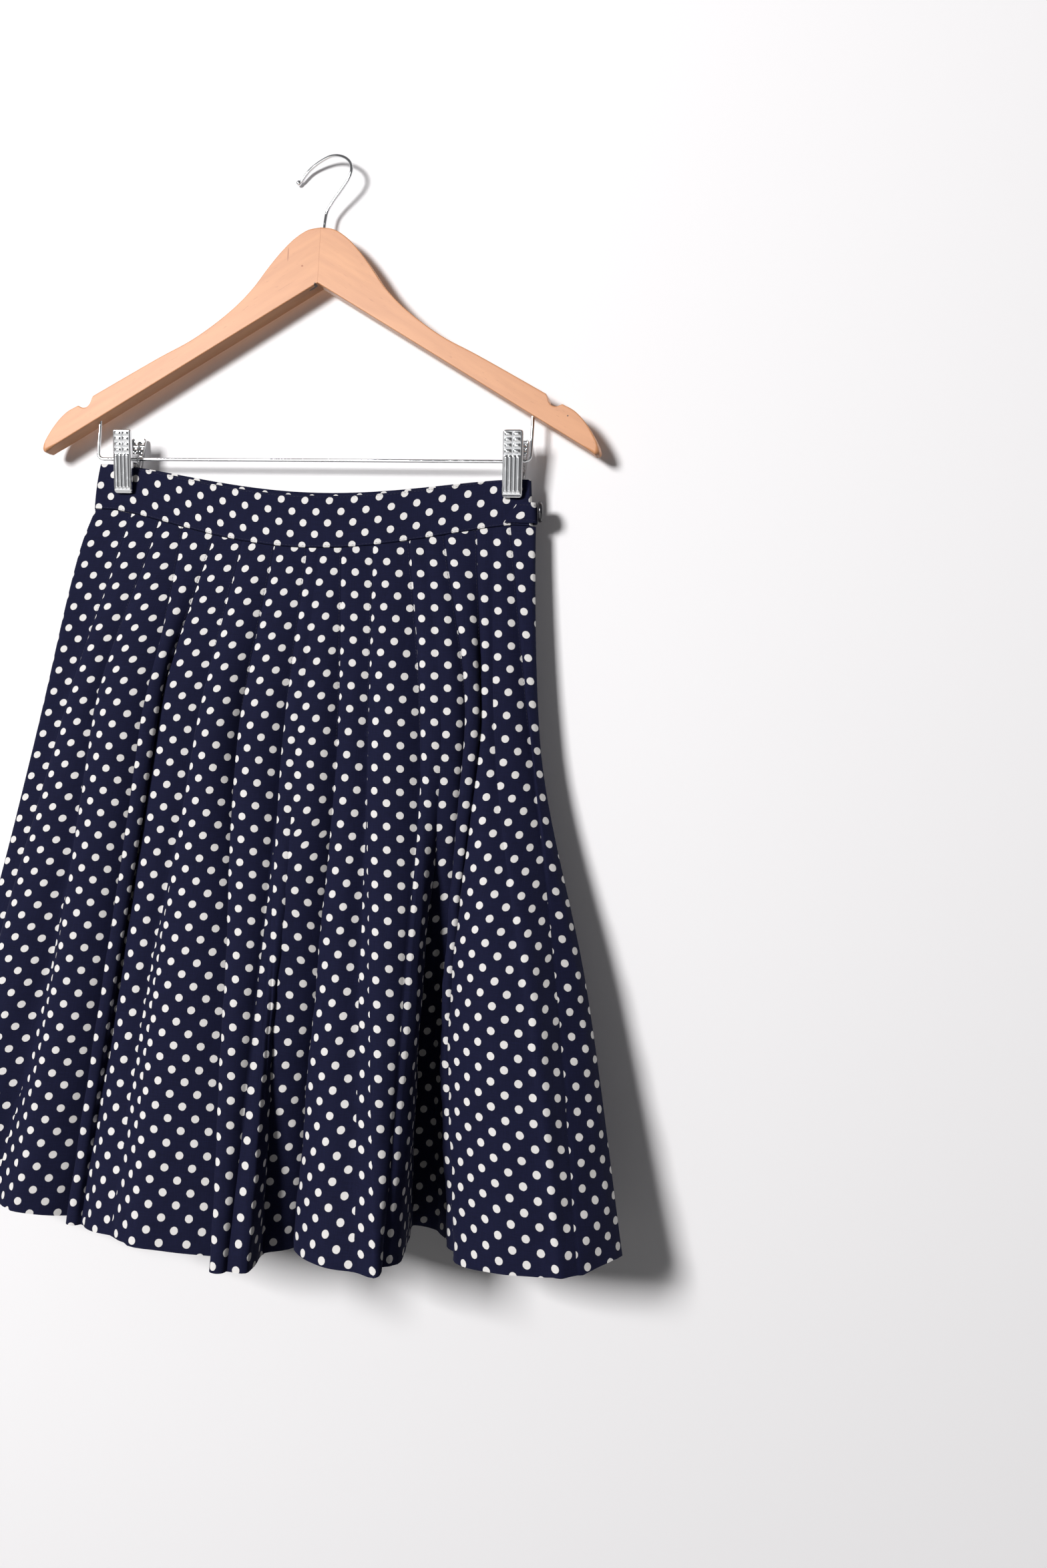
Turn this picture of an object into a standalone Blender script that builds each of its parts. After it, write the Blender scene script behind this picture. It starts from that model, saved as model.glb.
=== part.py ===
"""Pleated skirt, hung by two metal clips from a wooden hanger.

Lengths in the tables are millimetres, turned into metres as each mesh is made.
X runs to the viewer's right, Y away from the viewer, Z up. The origin is the
inside top of the hook, where a rail or a peg carries the hanger.
"""

import math
from collections import namedtuple

import bmesh
import bpy
import numpy as np
from mathutils import Euler, Vector

MM = 0.001
CREASE_ANGLE = math.radians(40.0)

# Gaps and cloth
SEAM_GAP = 0.3
CLOTH = 1.2
BAND_CLOTH = 2.0

# Waistband, its lower edge (the waist seam) and its upper edge
BAND_LEFT = (-176.5, -173.5)
BAND_RIGHT = (174.5, 171.5)
CLIP_SPAN = 155.0
SEAM_ENDS = (-269.0, -276.0)
TOP_ENDS = (-233.6, -242.0)
FRONT_SAG = (24.4, 19.3)
BACK_SAG = (20.0, 15.0)
SAG_REACH = 160.0
SAG_POWER = 1.3
BELLY_REACH = 150.0
FRONT_BELLY = (8.0, 6.0)
BACK_BELLY = (3.0, 2.0)
BAND_COLUMNS = 30
BAND_ROWS = 4
BAND_BUNCHING = 0.55

# Skirt panels: heights are shares of the way from the waist seam to the hem
HEIGHTS = (0.0, 0.30, 0.65, 1.0)
PANEL_ROWS = (0.0, 0.07, 0.16, 0.25, 0.33, 0.42, 0.51, 0.61, 0.71, 0.81, 0.91, 1.0)
SPAN_SAMPLES = 2
WAIST_OUT = 1.7
HIP_REACH = 205.0
FRONT_HIP = (14.0, 1.0)
BACK_HIP = (10.0, -1.0)
SEWN_STEP = (0.5, 1.5)
SEWN_TUCK = -0.8
FREE_TUCK = -2.0
SEWN_SWELL = (0.3, 1.5)
SEAM_TURN = (1.5, 3.0, 8.0, 10.0)
SEAM_INSET = (1.5, 3.0, 4.0, 5.0)
SIDE_DEPTH = (0.0, -3.0, -12.0, -28.0)
LEFT_SIDE = (-176.0, -205.0, -236.0, -266.0)
RIGHT_SIDE = (177.0, 196.0, 238.0, 274.0)
SIDE_HEM_Z = -785.0

# A fold's x at the waist, where its stitching ends, at mid length and at the hem,
# how far its edge stands out, how far the cloth tucks under it and dips behind it,
# how far the cloth after it swells, the hem's height, and if it is stitched down.
FOLD_COLUMNS = (
    "name waist end mid hem out_mid out_hem tuck_mid tuck_hem "
    "dip_mid dip_hem swell_mid swell_hem hem_z sewn"
)
Fold = namedtuple("Fold", FOLD_COLUMNS)

FRONT_FOLDS = (
    Fold("A", -143, -186, -216, -250, 30, 46, 5, 8, 7, 12, 3, 4, -784, True),
    Fold("B", -119, -158, -164, -174, 36, 66, -7, -20, 6, 12, 2, 2, -796, True),
    Fold("C", -98, -112, -120, -127, 32, 56, 6, 10, 10, 18, 1, 1, -803, True),
    Fold("D", -71, -106, -111, -114, 33, 61, -3, -4, 1, 2, 2, 3, -803, True),
    Fold("E", -47, -71, -79, -69, 44, 86, -8, -16, 6, 9, 0, 0, -801, True),
    Fold("F", -20, -37, -20, 4, 48, 100, 4, 7, 10, 26, 1, 1, -806, True),
    Fold("G", 6, -1, 10, 26, 48, 98, -7, -12, 0, 0, 0, 0, -806, True),
    Fold("G valley", 17, 13, 9, 21, 38, 60, 2, 3, -6, -20, 3, 10, -805, False),
    Fold("H", 33, 41, 43, 47, 36, 60, 6, 9, 14, 34, 5, 10, -798, True),
    Fold("I", 57, 65, 87, 114, 46, 90, -10, -14, 6, 5, 1, 0, -800, True),
    Fold("J", 84, 105, 116, 123, 42, 74, -5, -5, -2, -6, 0, 0, -796, True),
    Fold("J valley", 97, 121, 122, 132, -2, -10, -18, -22, 1, 4, 0, 0, -797, False),
    Fold("K", 110, 138, 135, 148, 10, 10, -4, -6, 4, 8, 0, 0, -799, True),
    Fold("L", 134, 147, 141, 159, 26, 46, 2, -2, 8, 16, 8, 8, -798, True),
    Fold("L crease", 147, 160, 203, 238, 42, 66, -6, -6, 1, 1, 0, 0, -792, False),
    Fold("M", 159, 188, 222, 252, 28, 58, -4, -4, -2, -2, -2, -3, -791, True),
)

# The back panel's folds, as seen from behind
BACK_FOLDS = (
    Fold("a", -146, -176, -203, -232, 4, 8, 5, 9, 8, 16, 3, 6, -790, True),
    Fold("b", -121, -148, -170, -193, 12, 26, -7, -16, 6, 12, 2, 3, -794, True),
    Fold("c", -96, -118, -132, -146, 14, 30, 5, 9, 5, 8, 2, 4, -797, True),
    Fold("d", -71, -86, -96, -106, 16, 34, -6, -12, 4, 5, 2, 3, -799, True),
    Fold("e", -47, -56, -58, -66, 12, 28, 6, 10, 10, 30, 3, 6, -801, True),
    Fold("f", -23, -27, -22, -24, 16, 34, -7, -16, 5, 8, 2, 2, -802, True),
    Fold("g", 2, 2, 8, 4, 14, 30, 4, 8, 9, 24, 3, 5, -803, True),
    Fold("h", 27, 32, 38, 42, 15, 33, -6, -14, 4, 6, 2, 3, -802, True),
    Fold("i", 52, 62, 66, 72, 10, 24, 6, 10, 12, 32, 4, 8, -801, True),
    Fold("j", 77, 92, 104, 116, 15, 34, -8, -18, 6, 9, 2, 3, -799, True),
    Fold("k", 102, 121, 136, 152, 12, 26, 5, 9, 10, 26, 3, 6, -797, True),
    Fold("l", 127, 150, 172, 198, 12, 22, -8, -18, 5, 8, 2, 2, -793, True),
    Fold("m", 152, 180, 210, 240, 4, 4, 4, 8, 8, 14, 2, 2, -789, True),
)

# Closure at the right end of the waistband
TAB_CLOTH = 1.2
TAB_TOP = -259.5
TAB_BOTTOM = -274.5
TAB_FRONT_X = (154.0, 163.0)
TAB_BACK_X = 162.0
TAB_ROWS = 4
TAB_BENDS = 8
BUTTON_RADIUS = 7.5
BUTTON_THICK = 3.0
BUTTON_RIM = 0.7
BUTTON_Z = -266.0
BUTTON_TURN = math.radians(15.0)
BUTTON_HOLE = 0.9
BUTTON_HOLE_RING = 2.2

# Wooden hanger: one arm's upper outline from the top of the hump to the tip
ARM_THICK = 14.0
ARM_EDGE = 1.6
ARM_SLOPE = 0.584
CROTCH_Z = -97.1
ARM_SHOULDER = (
    (0.15, -55.0), (10.0, -56.6), (20.0, -62.5), (30.0, -72.0), (40.0, -84.0),
    (52.0, -100.0), (68.0, -116.0), (97.0, -137.0), (127.0, -152.5), (180.0, -181.3),
)
ARM_NOTCH = ((183.6, -187.4), (187.8, -189.8), (192.4, -188.6))
ARM_TIP = ((202.0, -194.0), (212.0, -204.5), (219.0, -215.0), (221.5, -221.5), (217.5, -225.5))
ARM_HEEL_X = 210.0

# Hook: the wire's path in its own plane, from the stem's foot to the tip
HOOK_WIRE = 1.25
HOOK_TWIST = math.radians(16.0)
HOOK_FOOT_Z = -66.0
HOOK_PATH = (
    (0.0, -66.0), (0.0, -56.0), (0.6, -47.5), (1.9, -40.8), (6.6, -34.0), (14.2, -25.8),
    (19.9, -18.8), (22.2, -12.6), (20.6, -6.6), (14.4, -1.4), (4.0, 1.25), (-6.5, -1.0),
    (-16.6, -6.0), (-21.8, -10.8), (-24.4, -13.6), (-28.6, -14.8),
)
HOOK_BALL = 2.2
BALL_END = 0.5
BALL_RINGS = 9

# Clip bar: one wire bent up into both arms
BAR_WIRE = 1.3
BAR_Z = -229.0
BAR_CENTRE = -3.0
BAR_HALF = 173.0
BAR_CORNER = 3.0
BAR_TOP_Z = -186.0

# Clips: two pressed jaws on the bar, held together by a coiled spring
CLIP_X = (-149.5, 159.0)
JAW_ABOVE = 21.6
JAW_BELOW = 26.4
JAW_WIDTHS = (14.8, 12.4)
JAW_DEPTH = 4.5
JAW_SHEET = 1.0
JAW_LEAN = math.radians(10.0)
EAR_RADIUS = 3.8
EAR_FOOT = 3.2
SPRING_RADIUS = 3.4
SPRING_WIDTH = 9.0

NAVY = (0.014, 0.014, 0.060)
BEECH = (0.74, 0.45, 0.27)
CHROME = (0.78, 0.79, 0.80)
HORN = (0.015, 0.014, 0.018)


def clear_scene():
    for item in list(bpy.data.objects):
        bpy.data.objects.remove(item, do_unlink=True)


def make_material(name, colour, roughness, metallic=0.0):
    material = bpy.data.materials.new(name)
    material.use_nodes = True
    shader = material.node_tree.nodes["Principled BSDF"]
    shader.inputs["Base Color"].default_value = (*colour, 1.0)
    shader.inputs["Roughness"].default_value = roughness
    shader.inputs["Metallic"].default_value = metallic
    return material


def smooth_through(levels, values, at):
    """Monotone cubic curve through values given at levels, read at each place in at."""
    levels = np.asarray(levels, float)
    values = np.asarray(values, float)
    at = np.asarray(at, float)
    width = np.diff(levels)
    slope = np.diff(values) / width
    product = slope[:-1] * slope[1:]
    total = np.where(product > 0.0, slope[:-1] + slope[1:], 1.0)
    middle = np.where(product > 0.0, 2.0 * product / total, 0.0)
    tangent = np.concatenate([slope[:1], middle, slope[-1:]])
    cell = np.clip(np.searchsorted(levels, at, side="right") - 1, 0, len(width) - 1)
    t = (at - levels[cell]) / width[cell]
    rise = 3.0 * t**2 - 2.0 * t**3
    lead = width[cell] * (t - 2.0 * t**2 + t**3)
    trail = width[cell] * (t**3 - t**2)
    start = values[cell] + lead * tangent[cell]
    return start + rise * (values[cell + 1] - values[cell]) + trail * tangent[cell + 1]


def flow_through(knots, samples):
    """Centripetal Catmull-Rom curve through each row of knots (rows, knots, 2)."""
    knots = np.asarray(knots, float)
    before = 2.0 * knots[:, :1] - knots[:, 1:2]
    after = 2.0 * knots[:, -1:] - knots[:, -2:-1]
    points = np.concatenate([before, knots, after], axis=1)
    steps = np.sqrt(np.linalg.norm(np.diff(points, axis=1), axis=2))
    steps = np.maximum(steps, 1e-6)
    time = np.concatenate([np.zeros((len(knots), 1)), np.cumsum(steps, axis=1)], axis=1)
    p = [points[:, i:points.shape[1] - 3 + i, None] for i in range(4)]
    t = [time[:, i:time.shape[1] - 3 + i, None] for i in range(4)]
    share = np.arange(samples) / samples
    now = t[1] + (t[2] - t[1]) * share

    def blend(start, end, first, last):
        weight = (now - first) / (last - first)
        return start + (end - start) * weight[..., None]

    a1 = blend(p[0], p[1], t[0], t[1])
    a2 = blend(p[1], p[2], t[1], t[2])
    a3 = blend(p[2], p[3], t[2], t[3])
    b1 = blend(a1, a2, t[0], t[2])
    b2 = blend(a2, a3, t[1], t[3])
    curve = blend(b1, b2, t[1], t[2])
    curve = curve.reshape(len(knots), -1, knots.shape[2])
    return np.concatenate([curve, knots[:, -1:]], axis=1)


def sag(x, ends, depth):
    """Height of a band edge held by the clips and sagging between them."""
    x = np.asarray(x, float)
    held = ends[0] + (ends[1] - ends[0]) * (x + CLIP_SPAN) / (2.0 * CLIP_SPAN)
    angle = np.clip(np.abs(x) / SAG_REACH, 0.0, 1.0) * math.pi / 2.0
    return held - depth * np.maximum(np.cos(angle), 0.0) ** SAG_POWER


def belly(x):
    """How much the cloth between the clips bows out, from 0 at the clips to 1."""
    share = np.clip(np.abs(np.asarray(x, float)) / BELLY_REACH, 0.0, 1.0)
    return (1.0 - share**2) ** 2


def link_mesh(name, vertices, faces, material):
    mesh = bpy.data.meshes.new(name)
    mesh.from_pydata([tuple(v) for v in vertices], [], faces)
    mesh.materials.append(material)
    mesh.validate()
    mesh.update()
    body = bpy.data.objects.new(name, mesh)
    bpy.context.scene.collection.objects.link(body)
    return body


def wall(name, outer, inner, material):
    """Closed sheet between two grids of points (rows, columns, 3), outward facing."""
    rows, columns, _ = outer.shape
    count = rows * columns
    vertices = np.concatenate([outer.reshape(-1, 3), inner.reshape(-1, 3)]) * MM
    faces = []
    for r in range(rows - 1):
        for c in range(columns - 1):
            a = r * columns + c
            b = a + columns
            faces.append((a, b, b + 1, a + 1))
            faces.append((count + a, count + a + 1, count + b + 1, count + b))
    for c in range(columns - 1):
        low = (rows - 1) * columns + c
        faces.append((c, c + 1, count + c + 1, count + c))
        faces.append((low + 1, low, count + low, count + low + 1))
    for r in range(rows - 1):
        left = r * columns
        right = left + columns - 1
        faces.append((left + columns, left, count + left, count + left + columns))
        faces.append((right, right + columns, count + right + columns, count + right))
    body = link_mesh(name, vertices, faces, material)
    repair = bmesh.new()
    repair.from_mesh(body.data)
    bmesh.ops.recalc_face_normals(repair, faces=repair.faces)
    repair.to_mesh(body.data)
    repair.free()
    body.data.shade_smooth()
    body.data.set_sharp_from_angle(angle=CREASE_ANGLE)


def inward(curve):
    """Unit normals to the cloth's inner side; the two ends face along x."""
    steps = np.diff(curve, axis=1)
    steps /= np.linalg.norm(steps, axis=2, keepdims=True)
    tangent = steps[:, :-1] + steps[:, 1:]
    tangent /= np.linalg.norm(tangent, axis=2, keepdims=True)
    normal = np.empty_like(curve)
    normal[:, 1:-1, 0] = tangent[..., 1]
    normal[:, 1:-1, 1] = -tangent[..., 0]
    normal[:, 0] = (1.0, 0.0)
    normal[:, -1] = (-1.0, 0.0)
    return normal


def fold_knots(fold, base_waist, base_end, rows):
    """The point tucked under a fold and the point on its edge, at each height."""
    sewn_dip = SEWN_STEP if fold.sewn else (0.0, 0.0)
    sewn_tuck = SEWN_TUCK if fold.sewn else FREE_TUCK
    tucks = (sewn_tuck, sewn_tuck, fold.tuck_mid, fold.tuck_hem)
    dips = (*sewn_dip, fold.dip_mid, fold.dip_hem)
    outs = (base_waist + sewn_dip[0], base_end + sewn_dip[1], fold.out_mid, fold.out_hem)
    x = smooth_through(HEIGHTS, (fold.waist, fold.end, fold.mid, fold.hem), rows)
    out = smooth_through(HEIGHTS, outs, rows)
    tuck = smooth_through(HEIGHTS, tucks, rows)
    dip = smooth_through(HEIGHTS, dips, rows)
    under = np.stack([x + tuck, out - dip], axis=-1)
    edge = np.stack([x, out], axis=-1)
    return under, edge


def side_knots(side, depth, rows):
    """The side seam and the turn of cloth beside it, at each height."""
    x = smooth_through(HEIGHTS, side, rows)
    out = smooth_through(HEIGHTS, depth, rows) + SEAM_GAP / 2.0
    inset = smooth_through(HEIGHTS, SEAM_INSET, rows)
    turn = smooth_through(HEIGHTS, SEAM_TURN, rows)
    seam = np.stack([x, out], axis=-1)
    bend = np.stack([x - np.sign(side[0]) * inset, out + turn], axis=-1)
    return seam, bend


def panel_curve(folds, sides, depth, waist_belly, hip, rows, samples):
    """Section of a panel at each height as (x, out), with its hem heights."""
    left_seam, left_bend = side_knots(sides[0], depth, rows)
    right_seam, right_bend = side_knots(sides[1], depth, rows)
    knots = [left_seam, left_bend]
    hems = [SIDE_HEM_Z, SIDE_HEM_Z]
    swell = None
    for fold in folds:
        base_waist = WAIST_OUT + waist_belly * belly(fold.waist)
        base_end = hip[0] * (1.0 - (fold.end / HIP_REACH) ** 4) + hip[1]
        under, edge = fold_knots(fold, base_waist, base_end, rows)
        if swell is not None:
            crest = (knots[-1] + under) / 2.0
            crest[:, 1] += swell
            knots.append(crest)
            hems.append((hems[-1] + fold.hem_z) / 2.0)
        knots += [under, edge]
        hems += [fold.hem_z, fold.hem_z]
        swell = smooth_through(HEIGHTS, (*SEWN_SWELL, fold.swell_mid, fold.swell_hem), rows)
    knots += [right_bend, right_seam]
    hems += [SIDE_HEM_Z, SIDE_HEM_Z]
    curve = flow_through(np.stack(knots, axis=1), samples)
    along = np.arange(curve.shape[1]) / samples
    return curve, np.interp(along, np.arange(len(hems)), hems)


def make_panel(name, folds, sides, depth, waist_belly, hip, sag_depth, facing, material):
    """One skirt panel; facing is -1 for the front and 1 for the back."""
    rows = np.array(PANEL_ROWS)
    curve, hem_z = panel_curve(folds, sides, depth, waist_belly, hip, rows, SPAN_SAMPLES)
    inner = curve + CLOTH * inward(curve)
    top_z = sag(-facing * curve[0, :, 0], SEAM_ENDS, sag_depth) - SEAM_GAP
    z = top_z + (hem_z - top_z) * rows[:, None]

    def place(section):
        return np.stack([-facing * section[..., 0], facing * section[..., 1], z], axis=-1)

    wall(name, place(curve), place(inner), material)


def make_skirt(material):
    front_depth = tuple(-y for y in SIDE_DEPTH)
    make_panel("skirt_front", FRONT_FOLDS, (LEFT_SIDE, RIGHT_SIDE), front_depth,
               FRONT_BELLY[0], FRONT_HIP, FRONT_SAG[0], -1, material)
    behind = (tuple(-x for x in RIGHT_SIDE), tuple(-x for x in LEFT_SIDE))
    make_panel("skirt_back", BACK_FOLDS, behind, SIDE_DEPTH,
               BACK_BELLY[0], BACK_HIP, BACK_SAG[0], 1, material)


def make_band(name, bellies, sags, facing, material):
    """One half of the waistband, rounded at its ends where the halves meet."""
    rows = np.linspace(0.0, 1.0, BAND_ROWS)[:, None]
    turn = np.linspace(-math.pi / 2.0, math.pi / 2.0, BAND_COLUMNS)
    share = BAND_BUNCHING * np.sin(turn) + (1.0 - BAND_BUNCHING) * turn / (math.pi / 2.0)
    left = BAND_LEFT[0] + (BAND_LEFT[1] - BAND_LEFT[0]) * rows
    right = BAND_RIGHT[0] + (BAND_RIGHT[1] - BAND_RIGHT[0]) * rows
    middle = (left + right) / 2.0
    half = (right - left) / 2.0
    x = middle + half * share
    bow = (bellies[0] + (bellies[1] - bellies[0]) * rows) * belly(x)
    edge = np.clip((np.abs(x - middle) - half + BAND_CLOTH) / BAND_CLOTH, 0.0, 1.0)
    half_gap = SEAM_GAP / 2.0
    outer_out = half_gap + (BAND_CLOTH + half_gap) * np.sqrt(1.0 - edge**2) + bow
    inner_x = middle + (half - BAND_CLOTH) * share
    inner_out = half_gap + half_gap * np.sqrt(1.0 - edge**2) + bow
    seam_z = sag(x, SEAM_ENDS, sags[0])
    top_z = sag(x, TOP_ENDS, sags[1])
    z = seam_z + (top_z - seam_z) * rows
    outer = np.stack([x, facing * outer_out, z], axis=-1)
    inner = np.stack([inner_x, facing * inner_out, z], axis=-1)
    wall(name, outer, inner, material)


def band_right_end(z):
    """X of the waistband's right end at a height."""
    low = sag(BAND_RIGHT[0], SEAM_ENDS, FRONT_SAG[0])
    high = sag(BAND_RIGHT[1], TOP_ENDS, FRONT_SAG[1])
    share = (z - low) / (high - low)
    return BAND_RIGHT[0] + (BAND_RIGHT[1] - BAND_RIGHT[0]) * share


def make_tab(material):
    """Button tab, wrapped round the right end of the waistband."""
    inside = BAND_CLOTH + 2.0 * SEAM_GAP
    outside = inside + TAB_CLOTH
    bend = np.linspace(-math.pi / 2.0, math.pi / 2.0, TAB_BENDS)
    outer = []
    inner = []
    for z in np.linspace(TAB_BOTTOM, TAB_TOP, TAB_ROWS):
        share = (z - TAB_BOTTOM) / (TAB_TOP - TAB_BOTTOM)
        front_x = TAB_FRONT_X[0] + (TAB_FRONT_X[1] - TAB_FRONT_X[0]) * share
        end_x = band_right_end(z)
        for grid, radius in ((outer, outside), (inner, inside)):
            arc = [(end_x + radius * math.cos(a), radius * math.sin(a), z) for a in bend]
            grid.append([(front_x, -radius, z), *arc, (TAB_BACK_X, radius, z)])
    wall("waist_tab", np.array(outer), np.array(inner), material)


def add_cutter(body, cutter, operation="DIFFERENCE"):
    cutter.hide_render = True
    cutter.display_type = "WIRE"
    modifier = body.modifiers.new(operation.title(), "BOOLEAN")
    modifier.operation = operation
    modifier.object = cutter


def make_cylinder(name, radius, depth, material=None, segments=16):
    """Closed cylinder along Z, centred on its object's origin."""
    build = bmesh.new()
    bmesh.ops.create_cone(build, cap_ends=True, segments=segments, radius1=radius * MM,
                          radius2=radius * MM, depth=depth * MM)
    mesh = bpy.data.meshes.new(name)
    build.to_mesh(mesh)
    build.free()
    if material:
        mesh.materials.append(material)
    body = bpy.data.objects.new(name, mesh)
    bpy.context.scene.collection.objects.link(body)
    return body


def make_button(material):
    """Four-hole button on the tab, facing the skirt's right side."""
    reach = BAND_CLOTH + 2.0 * SEAM_GAP + TAB_CLOTH + SEAM_GAP + BUTTON_THICK / 2.0
    button = make_cylinder("waist_button", BUTTON_RADIUS, BUTTON_THICK, material, 32)
    bevel = button.modifiers.new("Rim", "BEVEL")
    bevel.width = BUTTON_RIM * MM
    bevel.segments = 2
    end_x = band_right_end(BUTTON_Z)
    tilt = math.atan(end_x - band_right_end(BUTTON_Z + 1.0))
    button.rotation_euler = (0.0, math.pi / 2.0 - tilt, BUTTON_TURN)
    along = Vector((math.sin(math.pi / 2.0 - tilt), 0.0, math.cos(math.pi / 2.0 - tilt)))
    along.rotate(Euler((0.0, 0.0, BUTTON_TURN)))
    button.location = (Vector((end_x, 0.0, BUTTON_Z)) + reach * along) * MM
    for i in range(4):
        angle = math.pi / 4.0 + i * math.pi / 2.0
        hole = make_cylinder(f"button_hole_{i}", BUTTON_HOLE, 3.0 * BUTTON_THICK, None, 10)
        hole.parent = button
        ring = BUTTON_HOLE_RING * MM
        hole.location = (ring * math.cos(angle), ring * math.sin(angle), 0.0)
        add_cutter(button, hole)


def arm_outline():
    """Right arm's outline in X and Z, clockwise from the top of the hump."""
    shoulder = flow_through(np.array([ARM_SHOULDER]), 3)[0]
    tip = flow_through(np.array([ARM_NOTCH[-1:] + ARM_TIP]), 3)[0]
    heel = (ARM_HEEL_X, CROTCH_Z - ARM_SLOPE * ARM_HEEL_X)
    crotch = (ARM_SHOULDER[0][0], CROTCH_Z)
    return [*shoulder, *ARM_NOTCH[:-1], *tip, heel, crotch]


def make_arm(name, side, material):
    """Wooden arm; side is 1 for the right arm and -1 for the left."""
    outline = arm_outline()
    build = bmesh.new()
    front = [build.verts.new((side * x * MM, -ARM_THICK / 2.0 * MM, z * MM)) for x, z in outline]
    face = build.faces.new(front)
    moved = bmesh.ops.extrude_face_region(build, geom=[face])
    back = [item for item in moved["geom"] if isinstance(item, bmesh.types.BMVert)]
    bmesh.ops.translate(build, verts=back, vec=(0.0, ARM_THICK * MM, 0.0))
    bmesh.ops.recalc_face_normals(build, faces=build.faces)
    mesh = bpy.data.meshes.new(name)
    build.to_mesh(mesh)
    build.free()
    mesh.materials.append(material)
    arm = bpy.data.objects.new(name, mesh)
    bpy.context.scene.collection.objects.link(arm)
    bevel = arm.modifiers.new("Eased edge", "BEVEL")
    bevel.width = ARM_EDGE * MM
    bevel.segments = 2
    bevel.limit_method = "ANGLE"
    bevel.angle_limit = math.radians(60.0)
    return arm


def drill(body, name, radius, x, bottom, top):
    hole = make_cylinder(name, radius, top - bottom)
    hole.location = (x * MM, 0.0, (top + bottom) / 2.0 * MM)
    add_cutter(body, hole)


def make_hanger(wood):
    for label, side in (("left", -1), ("right", 1)):
        arm = make_arm(f"hanger_arm_{label}", side, wood)
        drill(arm, f"stem_hole_{label}", HOOK_WIRE + SEAM_GAP, 0.0, HOOK_FOOT_Z - 1.0, -40.0)
        leg_x = BAR_CENTRE + side * BAR_HALF
        drill(arm, f"leg_hole_{label}", BAR_WIRE + SEAM_GAP, leg_x, -215.0, BAR_TOP_Z + 1.0)


def make_wire(name, points, radii, radius, material):
    """Round wire along a path of points, as thick at each as its share in radii."""
    curve = bpy.data.curves.new(name, "CURVE")
    curve.dimensions = "3D"
    curve.bevel_depth = radius * MM
    curve.bevel_resolution = 2
    curve.use_fill_caps = True
    spline = curve.splines.new("POLY")
    spline.points.add(len(points) - 1)
    for point, place, share in zip(spline.points, points, radii):
        point.co = (*[value * MM for value in place], 1.0)
        point.radius = share
    curve.materials.append(material)
    body = bpy.data.objects.new(name, curve)
    bpy.context.scene.collection.objects.link(body)


def make_hook(metal):
    """Hook wire, swivelled so that its tip points back, with a ball at the tip."""
    path = flow_through(np.array([HOOK_PATH]), 4)[0]
    lengths = np.linalg.norm(np.diff(path, axis=0), axis=1)
    arc = np.concatenate([[0.0], np.cumsum(lengths)])
    ball_start = arc[-1] - 2.0 * HOOK_BALL
    ball = np.linspace(0.0, 2.0 * HOOK_BALL, BALL_RINGS)
    tip = np.stack([np.interp(ball_start + ball, arc, path[:, i]) for i in range(2)], axis=-1)
    wire = path[arc < ball_start - HOOK_WIRE / 2.0]
    path = np.concatenate([wire, tip])
    bulge = np.sqrt(np.maximum(HOOK_BALL**2 - (ball - HOOK_BALL) ** 2, BALL_END**2))
    bulge = np.where(ball < HOOK_BALL, np.maximum(bulge, HOOK_WIRE), bulge)
    radii = np.concatenate([np.ones(len(wire)), bulge / HOOK_WIRE])
    across = math.cos(HOOK_TWIST)
    back = -math.sin(HOOK_TWIST)
    points = [(s * across, s * back, z) for s, z in path]
    make_wire("hanger_hook", points, radii, HOOK_WIRE, metal)


def make_bar(metal):
    """Clip bar with a rounded corner at each end and a leg up into each arm."""
    corner = []
    for step in range(7):
        angle = math.pi / 2.0 * step / 6.0
        x = BAR_HALF - BAR_CORNER * (1.0 - math.cos(angle))
        z = BAR_Z + BAR_CORNER * (1.0 - math.sin(angle))
        corner.append((x, z))
    right = [(BAR_HALF, BAR_TOP_Z), (BAR_HALF, (BAR_TOP_Z + BAR_Z) / 2.0), *corner]
    left = [(-x, z) for x, z in reversed(right)]
    points = [(BAR_CENTRE + x, 0.0, z) for x, z in right + left]
    make_wire("hanger_bar", points, [1.0] * len(points), BAR_WIRE, metal)


def jaw_seat():
    """Distance from a jaw's face to the bar, with its lower end on the cloth."""
    cloth = BAND_CLOTH + 2.0 * SEAM_GAP
    reach = (cloth + JAW_BELOW * math.sin(JAW_LEAN)) / math.cos(JAW_LEAN)
    return JAW_DEPTH + reach


def jaw_profile(seat):
    """Side view of a jaw: a shallow channel with a round ear about the bar."""
    ear = []
    for step in range(9):
        angle = math.pi / 2.0 - math.pi * step / 8.0
        ear.append((seat + EAR_RADIUS * math.cos(angle), EAR_RADIUS * math.sin(angle)))
    upper = [(0.0, -JAW_BELOW), (0.0, JAW_ABOVE), (JAW_DEPTH, JAW_ABOVE), (JAW_DEPTH, EAR_FOOT)]
    return upper + ear + [(JAW_DEPTH, -EAR_FOOT), (JAW_DEPTH, -JAW_BELOW)]


def make_block(name, size, centre):
    build = bmesh.new()
    bmesh.ops.create_cube(build, size=1.0)
    bmesh.ops.scale(build, vec=[value * MM for value in size], verts=build.verts)
    bmesh.ops.translate(build, vec=[value * MM for value in centre], verts=build.verts)
    mesh = bpy.data.meshes.new(name)
    build.to_mesh(mesh)
    build.free()
    block = bpy.data.objects.new(name, mesh)
    bpy.context.scene.collection.objects.link(block)
    return block


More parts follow.
